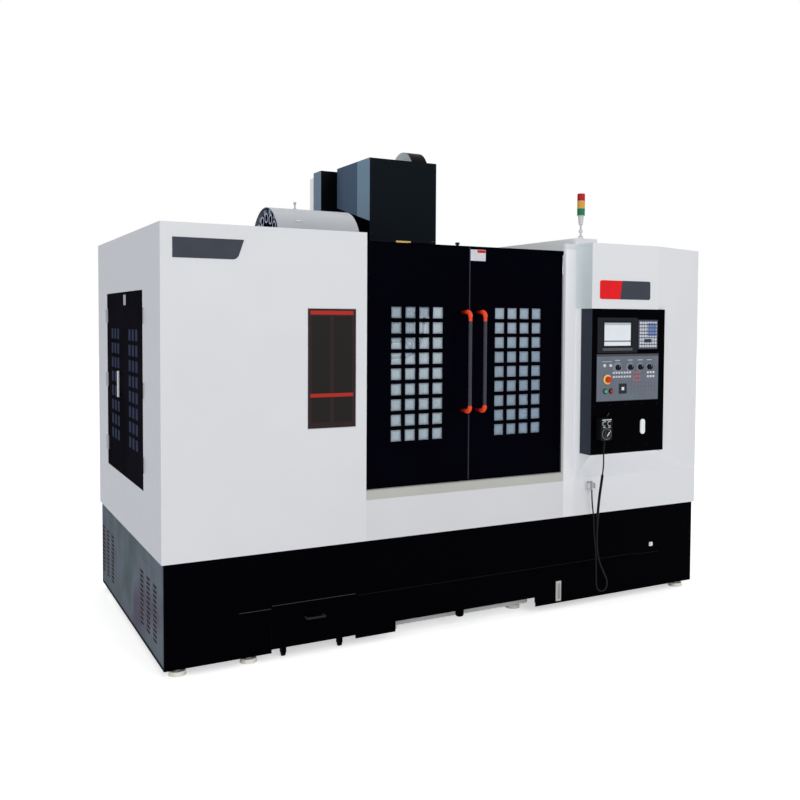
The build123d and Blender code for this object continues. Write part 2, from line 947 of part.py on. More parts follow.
def door_handle(side):
    """Tube handle on two bent feet that stand on the door."""
    x = side * handle_x
    y = door_recess - handle_reach
    bar = rod("z", (x, y), handle_radius, handle_low_z, handle_high_z)
    pieces = [bar]
    for z, way in ((handle_high_z, 1), (handle_low_z, -1)):
        start = Pos(x, y, z) * Circle(handle_foot_radius)
        bend_axis = Axis((x, y + handle_bend, z), (-way, 0, 0))
        bend = revolve(start, axis=bend_axis, revolution_arc=90)
        run_length = door_recess - y - handle_bend
        run = Pos(x, door_recess - run_length / 2, z + way * handle_bend) * Rot(90, 0, 0) * Cone(
            handle_tip_radius, handle_foot_radius, run_length
        )
        pieces.append(bend + run)
    return pieces


def side_leaf(y0, y1, hinge_at_low):
    """Side service leaf: folded sheet with panes and its hinge knuckles."""
    x0 = -half_width
    z0, z1 = side_open_z0 + leaf_gap, side_open_z1 - leaf_gap
    leaf = block(x0, x0 + leaf_depth, y0, y1, z0, z1)
    leaf -= block(x0 + sheet, x0 + leaf_depth + 1, y0 + sheet, y1 - sheet, z0 + sheet, z1 - sheet)
    centre = (y0 + y1) / 2
    leaf -= [
        block(x0 - 1, x0 + sheet + 1, y - side_pane_y / 2, y + side_pane_y / 2,
              z - pane_size / 2, z + pane_size / 2)
        for y in grid(centre, side_pane_pitch_y, side_pane_columns)
        for z in grid(side_window_z, pane_pitch_z, side_pane_rows)
    ]
    hinge_y = y0 - leaf_gap if hinge_at_low else y1 + leaf_gap
    inward = 1 if hinge_at_low else -1
    for z in (z0 + 140, (z0 + z1) / 2, z1 - 140):
        knuckle = rod(
            "z", (x0 - hinge_offset, hinge_y), hinge_radius,
            z - hinge_length / 2, z + hinge_length / 2,
        )
        strap_y = sorted((hinge_y, hinge_y + inward * 34))
        strap = block(
            x0 - hinge_offset, x0 - 0.0, *strap_y, z - hinge_length / 2, z + hinge_length / 2
        )
        clear = block(
            x0 - 0.3, x0 + 1, min(hinge_y - inward * 8, hinge_y + inward * leaf_gap),
            max(hinge_y - inward * 8, hinge_y + inward * leaf_gap), z - 60, z + 60,
        )
        leaf += (knuckle + strap) - clear
    half_y = (side_pane_pitch_y * (side_pane_columns - 1) + side_pane_y) / 2 + window_margin
    half_z = (pane_pitch_z * (side_pane_rows - 1) + pane_size) / 2 + window_margin
    pane = block(
        x0 + sheet, x0 + sheet + window_glass, centre - half_y, centre + half_y,
        side_window_z - half_z, side_window_z + half_z,
    )
    return leaf, pane


side_seam = (side_open_y0 + side_open_y1) / 2


def side_door_front():
    return list(side_leaf(side_open_y0 + leaf_gap, side_seam - leaf_gap, True))


def side_door_rear():
    leaf, pane = side_leaf(side_seam + leaf_gap, side_open_y1 - leaf_gap, False)
    y = side_seam + 60
    z = side_window_z + 13
    x = -half_width - grip_standoff
    grip = rod("z", (x, y), grip_radius, z - grip_length / 2, z + grip_length / 2)
    for end in (-1, 1):
        grip += rod("x", (y, z + end * (grip_length / 2 - 12)), grip_radius - 1, x, -half_width)
    return [leaf, pane, grip]


# Console


def console_shroud():
    """White console housing: slanted wing on the right, sloped underside."""
    top_z = panel_top
    plan = [
        (shroud_x0, 0), (shroud_x0, -shroud_reach), (shroud_x1, -shroud_reach), (half_width, 0)
    ]
    body = prism_z(plan, shroud_foot_z, top_z)
    under = prism_x(
        [(1, shroud_foot_z - 1), (1, shroud_foot_z), (-shroud_reach - 1, case_z0),
         (-shroud_reach - 1, shroud_foot_z - 1)],
        shroud_x0 - 1,
        half_width + 1,
    )
    body -= under
    inset = 4.0
    cavity_plan = [
        (shroud_x0 + inset, 1), (shroud_x0 + inset, -shroud_reach + inset),
        (shroud_x1 - 1, -shroud_reach + inset), (half_width - 18, 1),
    ]
    cavity = prism_z(cavity_plan, shroud_foot_z + 30, top_z - inset)
    cavity -= prism_x(
        [(1, shroud_foot_z), (1, shroud_foot_z + 8), (-shroud_reach - 1, case_z0 + 8),
         (-shroud_reach - 1, shroud_foot_z)],
        shroud_x0 - 1,
        half_width + 1,
    )
    pocket = block(
        case_x0 - 3, case_x1 + seat_gap, -shroud_reach - 1, -case_backing,
        case_z0, case_z1 + seat_gap,
    )
    wall = block(
        case_x0 - 3, case_x1 + 4, -shroud_reach - 1, -case_backing + 4,
        case_z0 - 4, case_z1 + 4,
    )
    housing = body - cavity
    housing += wall & body
    return housing - pocket


def console_case():
    """Black console case with cut-outs behind its plates and a compartment below."""
    y0, y1 = case_front, -case_backing
    body = block(case_x0, case_x1, y0, y1, case_z0, case_z1)
    body -= block(
        case_x0 + case_wall, case_x1 - case_wall, y0 + case_wall, y1 + 1,
        case_z0 + case_wall, case_z1 - case_wall,
    )
    for x0, x1, z0, z1 in (
        (display_x0, display_x1, display_z0, display_z1),
        (keypad_x0, keypad_x1, keypad_z0, keypad_z1),
        (controls_x0, controls_x1, controls_z0, controls_z1),
    ):
        body -= block(
            x0 + cutout_lip, x1 - cutout_lip, y0 - 1, y0 + case_wall + 1,
            z0 + cutout_lip, z1 - cutout_lip,
        )
    body -= block(
        compartment_x0, compartment_x1, y0 - 1, y0 + case_wall + 1, compartment_z0, compartment_z1
    )
    return body


def console_door():
    """Compartment door with its oval grip and hinge knuckles."""
    gap = 1.5
    y0 = case_front
    door = block(
        compartment_x0 + gap, compartment_x1 - gap, y0, y0 + compartment_door_thick,
        compartment_z0 + gap, compartment_z1 - gap,
    )
    door -= block(
        compartment_x0 + gap + 3, compartment_x1 - gap - 3, y0 + 3, y0 + 99,
        compartment_z0 + gap + 3, compartment_z1 - gap - 3,
    )
    for z in (compartment_z0 + 50, compartment_z1 - 50):
        door += rod("z", (compartment_x0, y0 - 4.3), 4.0, z - 20, z + 20)
        door += block(
            compartment_x0, compartment_x0 + 22, y0 - 6, y0 - seat_gap, z - 20, z + 20
        )
        door += block(
            compartment_x0 + 4, compartment_x0 + 22, y0 - seat_gap, y0, z - 20, z + 20
        )
    grip = Plane.XZ * SlotOverall(98.0, 38.0, rotation=90)
    grip = extrude(grip, amount=7.0)
    hollow = extrude(Plane.XZ * SlotOverall(78.0, 18.0, rotation=90), amount=8.0)
    place = Pos(1210, y0, 1187)
    return door + place * grip - Pos(0, -3, 0) * place * hollow


def display_unit():
    y1 = case_front
    y0 = y1 - display_thick
    bezel = block(display_x0, display_x1, y0, y1, display_z0, display_z1)
    bezel = chamfer(bezel.edges().group_by(Axis.Y)[0], 2.0)
    bezel -= block(
        display_x0 + screen_left, display_x1 - screen_right, y0 - 1, y0 + 2.5,
        display_z0 + screen_low, display_z1 - screen_high,
    )
    for x in grid((display_x0 + display_x1) / 2 - 2.5, 30.0, 8):
        bezel += block(x - 10, x + 10, y0 - 2, y0, display_z0 + 17, display_z0 + 29)
    return bezel


def keypad():
    y1 = case_front
    y0 = y1 - keypad_thick
    plate = block(keypad_x0, keypad_x1, y0, y1, keypad_z0, keypad_z1)
    for x in grid((keypad_x0 + keypad_x1) / 2, 21.5, 7):
        for z in grid((keypad_z0 + keypad_z1) / 2, 21.5, 8):
            plate += block(x - 8, x + 8, y0 - 2.5, y0, z - 8, z + 8)
    return plate


def operator_panel():
    """Control plate with its collar, small keys and bores for the moving controls."""
    y1 = case_front
    y0 = y1 - controls_thick
    plate = block(controls_x0, controls_x1, y0, y1, controls_z0, controls_z1)
    collar = Pos(stop_x, y0, stop_z) * Rot(90, 0, 0) * Cylinder(
        stop_collar_radius, 6.0, align=(Align.CENTER, Align.CENTER, Align.MIN)
    )
    plate += collar
    for x in grid(1027.0, 22.5, 7):
        for z in (1543.0, 1517.0):
            plate += block(x - 7, x + 7, y0 - 3, y0, z - 6, z + 6)
    for x in (1128.0, 1151.0, 1174.0):
        for z in (1543.0, 1517.0, 1491.0):
            plate += block(x - 7, x + 7, y0 - 3, y0, z - 6, z + 6)
    for x in (1246.0, 1270.0, 1294.0):
        for z in (1541.0, 1515.0):
            plate += block(x - 8, x + 8, y0 - 3, y0, z - 7, z + 7)
    for x in grid(1205.0, 24.0, 8):
        for z in (1465.0, 1437.0, 1409.0):
            plate += block(x - 8, x + 8, y0 - 2, y0, z - 7, z + 7)
    for x in (880.0, 930.0):
        plate += rod("y", (x, 1591.0), 10.0, y0 - 9, y0)
    holes = [(stop_x, stop_z)] + [(x, push_z) for x in push_xs] + [(x, knob_z) for x in knob_xs]
    for x, z in holes:
        plate -= rod("y", (x, z), stem_radius + stem_clearance, y0 - 20, y1 + 1)
    return plate


def push_button(x, z, head_radius, head_y0, head_y1, travel):
    stem_end = case_front + 2
    button = rod("y", (x, z), head_radius, head_y0, head_y1)
    button += rod("y", (x, z), stem_radius, head_y1, stem_end)
    return button


def emergency_stop():
    """Mushroom button on its stem through the collar."""
    face = case_front - controls_thick - 6.0
    y1 = face - stop_travel - 0.5
    head_button = rod("y", (stop_x, stop_z), stop_head_radius, y1 - 14, y1)
    head_button = fillet(head_button.edges().sort_by(Axis.Y)[0], 7.0)
    return head_button + rod("y", (stop_x, stop_z), stem_radius, y1, case_front + 2)


def cycle_button(x):
    face = case_front - controls_thick
    y1 = face - push_travel - 0.5
    return push_button(x, push_z, push_radius, y1 - 6, y1, push_travel)


def rotary_knob(x):
    """Knob with a pointer ridge, on a stem through the control plate."""
    face = case_front - controls_thick
    body = rod("y", (x, knob_z), knob_radius, face - knob_height, face - seat_gap)
    body = chamfer(body.edges().sort_by(Axis.Y)[0], 3.0)
    ridge = block(x - 3, x + 3, face - knob_height - 3, face - knob_height, knob_z - 14, knob_z + 14)
    stem = rod("y", (x, knob_z), stem_radius, face - seat_gap, case_front + 2)
    return body + ridge + stem


def pendant():
    """Hand pendant: rounded case with two selector knobs, hung on the console."""
    y1 = case_front
    y0 = y1 - pendant_depth
    body = block(
        pendant_x - pendant_width / 2, pendant_x + pendant_width / 2, y0, y1,
        pendant_z0, pendant_z1,
    )
    body = fillet(body.edges().filter_by(Axis.Y), pendant_corner)
    body = fillet(body.edges().group_by(Axis.Y)[0], 5.0)
    for x in (pendant_x - 20, pendant_x + 20):
        body += rod("y", (x, 1226.0), 11.0, y0 - 14, y0)
    body += rod("z", (pendant_x, case_front - 25), 9.0, lead_route[0][2] + lead_gap, pendant_z0)
    return body


def pendant_dial():
    y1 = case_front - pendant_depth - seat_gap
    dial = rod("y", (pendant_x, dial_z), dial_radius, y1 - dial_height, y1)
    dial = chamfer(dial.edges().sort_by(Axis.Y)[0], 2.0)
    crank = rod(
        "y", (pendant_x, dial_z + dial_radius - 10), crank_radius,
        y1 - dial_height - crank_height, y1 - dial_height,
    )
    return dial + crank


def route_radii(route):
    """Largest tangent arc at each corner: 0.45 of the shorter run over tan(half the turn)."""
    points = [Vector(*p) for p in route]
    radii = []
    for a, b, c in zip(points, points[1:], points[2:]):
        turn = (b - a).get_angle(c - b)
        shorter = min((b - a).length, (c - b).length)
        radii.append(0.45 * shorter / math.tan(math.radians(turn) / 2))
    return radii


def pendant_lead():
    """Lead of the pendant: straight runs joined by tangent arcs."""
    radii = route_radii(lead_route)
    path = FilletPolyline(*lead_route, radius=radii)
    start = Plane(origin=path @ 0, z_dir=path % 0)
    lead = sweep(start * Circle(lead_radius), path=path)
    share = lead.volume / (math.pi * lead_radius**2 * path.length)
    print("lead length", round(path.length), "volume share", round(share, 4))
    print("lead radii", [round(r) for r in radii])
    return lead


def cord_sockets():
    """Pair of sockets on the front panel, on one small mounting plate."""
    plate = block(
        socket_x - 34, socket_x + 34, -4, 0, socket_z + 6, socket_z + socket_length + 8
    )
    for x in (socket_x - socket_pitch / 2, socket_x + socket_pitch / 2):
        body = block(
            x - socket_size / 2, x + socket_size / 2, -40, -4, socket_z + 10,
            socket_z + socket_length,
        )
        plate += chamfer(body.edges().filter_by(Axis.Z), 4.0)
    plate += rod(
        "z", (lead_route[-1][0], lead_route[-1][1]), 8.0, lead_route[-1][2] + lead_gap,
        socket_z + 10,
    )
    return plate


# Roof line


def cable_duct():
    outer = block(duct_x0, duct_x1, 0, enclosure_depth, panel_top, panel_top + duct_height)
    inner = block(
        duct_x0 + sheet, duct_x1 - sheet, sheet, enclosure_depth - sheet,
        panel_top - 1, panel_top + duct_height - sheet,
    )
    return outer - inner


def beacon_stem():
    """Stem of the signal lamp: base cone, knob, tube and the clear tapered body."""
    z0 = panel_top + duct_height
    base = Pos(lamp_x, lamp_y, z0 + 6) * Cone(24.0, 14.0, 12.0)
    stem = rod("z", (lamp_x, lamp_y), lamp_stem_radius, z0 + 12, lamp_body_z)
    knob = rod("z", (lamp_x, lamp_y), 13.0, z0 + 40, z0 + 56)
    body = Pos(lamp_x, lamp_y, (lamp_body_z + lamp_first_z) / 2) * Cone(
        lamp_body_low_radius, lamp_body_high_radius, lamp_first_z - lamp_body_z
    )
    return base + stem + knob + body


def beacon_lenses():
    lenses = []
    for index in range(3):
        z = lamp_first_z + index * lamp_pitch
        lens = rod("z", (lamp_x, lamp_y), lamp_radius, z, z + lamp_pitch - 3)
        lens += rod("z", (lamp_x, lamp_y), lamp_radius - 3, z + lamp_pitch - 3, z + lamp_pitch)
        lenses.append(lens)
    return lenses


# Tool changer


def magazine_frame():
    """Changer frame: bracket from the column, drive box, hub stub and shaft housing."""
    bracket = prism_z(
        [
            (-column_half, column_flange_y + 10), (-column_half, column_flange_y + 134),
            (-640, column_flange_y + 134), (drive_box_x0, spindle_y + 240),
            (drive_box_x0, spindle_y + 120), (drive_box_x1 - 15, spindle_y + 120),
            (drive_box_x1 - 15, spindle_y + 240), (-470, column_flange_y + 10),
        ],
        magazine_z - 320,
        magazine_z - 152,
    )
    box = block(
        drive_box_x0, drive_box_x1, spindle_y - drive_box_half, spindle_y + drive_box_half,
        magazine_z - 320, magazine_z + 60,
    )
    housing = rod(
        "z", (changer_x, spindle_y), changer_housing_radius, magazine_z - 320, magazine_z - 60
    )
    web = block(
        drive_box_x1, changer_x, spindle_y - 60, spindle_y + 60,
        magazine_z - 300, magazine_z - 80,
    )
    disc_x = magazine_left_x + pot_offset + pot_length
    stub = rod("x", (spindle_y, magazine_z), 30.0, disc_x - 19, drive_box_x0)
    bore = rod(
        "z", (changer_x, spindle_y), changer_shaft_radius + 0.08,
        magazine_z - 321, magazine_z - 100,
    )
    return bracket + box + housing + web + stub - bore


def tool_pot(index):
    """One pot of the ring; its place is counted from the change position at the bottom."""
    x0 = magazine_left_x + pot_offset
    angle = 2 * math.pi * index / pot_count - math.pi / 2
    centre = (
        spindle_y + pot_ring_radius * math.cos(angle), magazine_z + pot_ring_radius * math.sin(angle)
    )
    pot = rod("x", centre, pot_radius, x0, x0 + pot_length)
    return pot - rod("x", centre, pot_bore, x0 - 1, x0 + pot_bore_depth)


def tool_magazine():
    """Disc of the tool magazine and its pots, but for the one at the change position."""
    x0 = magazine_left_x + pot_offset
    x1 = x0 + pot_length
    centre = (spindle_y, magazine_z)
    disc = rod("x", centre, disc_radius, x1, x1 + disc_thick)
    disc += rod("x", centre, hub_radius, x0 + 40, x1)
    disc += Pos(x0 + 20, spindle_y, magazine_z) * Rot(0, -90, 0) * Cone(hub_radius, 30.0, 40.0)
    disc -= rod("x", centre, 30.05, x1 - 20, x1 + disc_thick + 1)
    return [disc] + [tool_pot(index) for index in range(1, pot_count)]


def magazine_cover():
    """Half-round cover over the magazine, open at its left end."""
    centre = (spindle_y, magazine_z)
    outer = rod("x", centre, magazine_cover_radius, magazine_left_x, magazine_right_x)
    outer &= block(
        magazine_left_x - 1, magazine_right_x + 1, spindle_y - 300, spindle_y + 300,
        magazine_z, magazine_z + 300,
    )
    skirt_y = (spindle_y - magazine_cover_radius, spindle_y + magazine_cover_radius)
    outer += block(magazine_left_x, magazine_right_x, *skirt_y, magazine_z - 150, magazine_z)
    inner = rod(
        "x", centre, magazine_cover_radius - sheet, magazine_left_x - 1, magazine_right_x - sheet
    )
    inner += block(
        magazine_left_x - 1, magazine_right_x - sheet, skirt_y[0] + sheet, skirt_y[1] - sheet,
        magazine_z - 151, magazine_z,
    )
    stay_x = drive_box_x0 + 50, drive_box_x0 + 110
    stays = [
        block(*stay_x, *sorted((spindle_y + side * drive_box_half,
              spindle_y + side * (magazine_cover_radius - 1))), magazine_z - 120, magazine_z - 100)
        for side in (-1, 1)
    ]
    gap = block(
        changer_x - 90, magazine_right_x + 1, spindle_y - 130, spindle_y + 130,
        magazine_z - 160, magazine_z - 50,
    )
    return (outer - inner) + stays - gap


def changer_shaft():
    return rod(
        "z", (changer_x, spindle_y), changer_shaft_radius, arm_z0 + arm_thick + 0.3,
        magazine_z - 110,
    ) + rod(
        "z", (changer_x, spindle_y), 20.0, arm_z0 + 4, arm_z0 + arm_thick + 0.3
    )


def changer_arm():
    """Double arm with an open gripper at each end, parked along Y."""
    z0, z1 = arm_z0, arm_z0 + arm_thick
    bar = block(
        changer_x - arm_width / 2, changer_x + arm_width / 2,
        spindle_y - arm_reach + 30, spindle_y + arm_reach - 30, z0, z1,
    )
    hub = rod("z", (changer_x, spindle_y), 78.0, z0, z1)
    body = bar + hub
    for end in (-1, 1):
        y = spindle_y + end * arm_reach
        body += rod("z", (changer_x, y), gripper_radius, z0, z1)
    for end in (-1, 1):
        y = spindle_y + end * arm_reach
        body -= rod("z", (changer_x, y), gripper_bore, z0 - 1, z1 + 1)
        mouth = sorted((changer_x, changer_x + end * 90))
        body -= block(*mouth, y - gripper_bore, y + gripper_bore, z0 - 1, z1 + 1)
    return body - rod("z", (changer_x, spindle_y), 20.06, z0 - 1, z1 + 1)


# Base units


def chip_drawer():
    """Pull-out chip drawer: open box on a front plate, with a handle and small wheels."""
    y0 = skirt_inset
    x0, x1 = drawer_x0 + drawer_gap, drawer_x1 - drawer_gap
    plate = block(x0, x1, y0, y0 + sheet, drawer_z0, drawer_z1 - drawer_gap)
    tub = block(x0 + 15, x1 - 15, y0 + sheet, y0 + drawer_length, drawer_z0 + 3, drawer_z1 - 25)
    tub -= block(
        x0 + 15 + sheet, x1 - 15 - sheet, y0 + 2 * sheet, y0 + drawer_length - sheet,
        drawer_z0 + 3 + sheet, drawer_z1,
    )
    body = plate + tub
    reach = 34.0
    bar = rod(
        "x", (y0 - reach, drawer_handle_z), 6.0,
        drawer_handle_x - drawer_handle_half, drawer_handle_x + drawer_handle_half,
    )
    for end in (-1, 1):
        x = drawer_handle_x + end * drawer_handle_half
        bar += rod("y", (x, drawer_handle_z), 6.0, y0 - reach, y0)
    body += bar
    for x in (x0 + 84, x1 - 76):
        for y in (y0 + 56, y0 + drawer_length - 80):
            fork = block(x - 14, x + 14, y - 16, y + 16, drawer_wheel_radius, drawer_z0 + 3)
            wheel = rod("x", (y, drawer_wheel_radius), drawer_wheel_radius, x - 9, x + 9)
            body += fork + wheel
    return body


def coolant_tank():
    """Closed coolant tank behind the front skirt, on four short legs."""
    body = block(tank_x0, tank_x1, tank_y0, tank_y1, tank_leg, tank_z1)
    for x in (tank_x0 + 60, tank_x1 - 60):
        for y in (tank_y0 + 160, tank_y1 - 60):
            body += block(x - 30, x + 30, y - 30, y + 30, 0, tank_leg)
    pump = rod("z", (tank_x0 + 200, tank_y1 - 150), 60.0, tank_z1, tank_z1 + 10)
    return body + pump


def electrical_cabinet():
    """Cabinet shell on the rear wall, open at the back for its door."""
    y0, y1 = enclosure_depth, cabinet_back
    body = block(cabinet_x0, cabinet_x1, y0, y1, cabinet_z0, cabinet_z1)
    body -= block(
        cabinet_x0 + sheet, cabinet_x1 - sheet, y0 + sheet, y1 + 1,
        cabinet_z0 + sheet, cabinet_z1 - sheet,
    )
    plate = block(
        cabinet_x0 + 80, cabinet_x1 - 80, y0 + sheet, y0 + sheet + 12,
        cabinet_z0 + 120, cabinet_z1 - 120,
    )
    return body + plate


def cabinet_door_leaf():
    """Cabinet door: folded sheet with vent slots, a turning handle and hinge knuckles."""
    y0 = cabinet_back + seat_gap
    y1 = cabinet_back + cabinet_door
    door = block(cabinet_x0, cabinet_x1, y0, y1, cabinet_z0, cabinet_z1)
    door -= block(
        cabinet_x0 + sheet, cabinet_x1 - sheet, y0 - 1, y1 - sheet,
        cabinet_z0 + sheet, cabinet_z1 - sheet,
    )
    middle = (cabinet_x0 + cabinet_x1) / 2
    vents = [
        block(x - cabinet_vent_length / 2, x + cabinet_vent_length / 2, y1 - sheet - 1, y1 + 1,
              z - cabinet_vent_height / 2, z + cabinet_vent_height / 2)
        for x in grid(middle, 1.4 * cabinet_vent_length, 2)
        for low in (cabinet_z0 + 200, cabinet_z1 - 200)
        for z in grid(low, cabinet_vent_pitch, cabinet_vent_rows)
    ]
    door -= vents
    x = cabinet_x0 + 70
    z = (cabinet_z0 + cabinet_z1) / 2
    door += rod("y", (x, z), 22.0, y1, y1 + 10)
    door += block(x - 10, x + 10, y1 + 10, y1 + cabinet_handle, z - 60, z + 14)
    for z in (cabinet_z0 + 250, cabinet_z1 - 250):
        door += rod("z", (cabinet_x1 + hinge_offset, y1 - 6), hinge_radius, z - 45, z + 45)
        door += block(cabinet_x1, cabinet_x1 + hinge_offset, y1 - 9, y1 - 3, z - 45, z + 45)
    return door


nodes = {
    "bed": bed,
    "levelling_feet": levelling_feet,
    "column": column,
    "saddle": saddle,
    "table": table,
    "head": head,
    "head_cover": head_cover,
    "spindle": spindle,
    "spindle_motor": spindle_motor,
    "z_motor": z_motor,
    "chain_guard": chain_guard,
    "left_front_panel": left_front_panel,
    "right_front_panel": right_front_panel,
    "lower_front_panel": lower_front_panel,
    "front_sill": front_sill,
    "door_header": door_header,
    "left_side_wall": lambda: side_wall(True),
    "right_side_wall": lambda: mirrored(side_wall(False)),
    "rear_panels": rear_panels,
    "base_front": base_front,
    "base_skirts": base_skirts,
    "chip_pans": chip_pans,
    "door_left": lambda: door_leaf(-1),
    "door_right": lambda: door_leaf(1),
    "door_left_glass": lambda: door_glass(-1),
    "door_right_glass": lambda: door_glass(1),
    "door_left_handle": lambda: door_handle(-1),
    "door_right_handle": lambda: door_handle(1),
    "side_door_front": side_door_front,
    "side_door_rear": side_door_rear,
    "console_shroud": console_shroud,
    "console_case": console_case,
    "console_door": console_door,
    "display_unit": display_unit,
    "keypad": keypad,
    "operator_panel": operator_panel,
    "emergency_stop": emergency_stop,
    "cycle_start": lambda: cycle_button(push_xs[0]),
    "cycle_stop": lambda: cycle_button(push_xs[1]),
    "knob_mode": lambda: rotary_knob(knob_xs[0]),
    "knob_feed": lambda: rotary_knob(knob_xs[1]),
    "knob_rapid": lambda: rotary_knob(knob_xs[2]),
    "knob_spindle": lambda: rotary_knob(knob_xs[3]),
    "pendant": pendant,
    "pendant_dial": pendant_dial,
    "pendant_lead": pendant_lead,
    "cord_sockets": cord_sockets,
    "cable_duct": cable_duct,
    "beacon_stem": beacon_stem,
    "beacon_lenses": beacon_lenses,
    "magazine_frame": magazine_frame,
    "magazine_cover": magazine_cover,
    "tool_magazine": tool_magazine,
    "change_pot": lambda: tool_pot(0),
    "changer_shaft": changer_shaft,
    "changer_arm": changer_arm,
    "chip_drawer": chip_drawer,
    "coolant_tank": coolant_tank,
    "electrical_cabinet": electrical_cabinet,
    "cabinet_door": cabinet_door_leaf,
}


def write(name, shape):
    """Move a piece to the row frame and write its file."""
    pieces = shape if isinstance(shape, (list, tuple)) else [shape]
    solids = [solid for piece in pieces for solid in piece.solids()]
    placed = [Pos(0, front_y, 0) * solid for solid in solids]
    export_step(placed[0] if len(placed) == 1 else Compound(children=placed), f"parts/{name}.step")


os.makedirs("parts", exist_ok=True)
print("front plane at Y", round(front_y, 3), "nodes", len(nodes))
for name, make in nodes.items():
    write(name, make())
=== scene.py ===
import bmesh
import bpy
import math
from mathutils import Matrix, Vector


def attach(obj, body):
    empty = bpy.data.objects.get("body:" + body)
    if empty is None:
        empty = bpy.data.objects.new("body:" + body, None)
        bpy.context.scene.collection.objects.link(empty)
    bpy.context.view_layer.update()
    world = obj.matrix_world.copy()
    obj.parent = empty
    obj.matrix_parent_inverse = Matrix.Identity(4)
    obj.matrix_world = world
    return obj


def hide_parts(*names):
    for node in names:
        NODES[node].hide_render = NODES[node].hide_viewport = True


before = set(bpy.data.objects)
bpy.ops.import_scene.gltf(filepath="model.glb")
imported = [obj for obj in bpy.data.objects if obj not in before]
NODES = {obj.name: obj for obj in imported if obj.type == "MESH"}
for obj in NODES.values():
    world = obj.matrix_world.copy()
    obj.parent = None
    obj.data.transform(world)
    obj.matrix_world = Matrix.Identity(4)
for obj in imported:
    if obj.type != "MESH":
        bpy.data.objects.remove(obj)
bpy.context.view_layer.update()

# Millimetre coordinates with Y counted from the front panels, as the CAD uses
FRONT_Y = -1.05585


def mm(x, y, z):
    """Point in the row's metres."""
    return Vector((x / 1000, y / 1000 + FRONT_Y, z / 1000))


def row_y(y):
    """Depth in the row's metres."""
    return mm(0, y, 0).y


# Materials


def srgb(r, g, b):
    """Linear colour of an 8-bit screen colour."""
    def channel(v):
        v /= 255
        return v / 12.92 if v <= 0.04045 else ((v + 0.055) / 1.055) ** 2.4
    return channel(r), channel(g), channel(b), 1.0


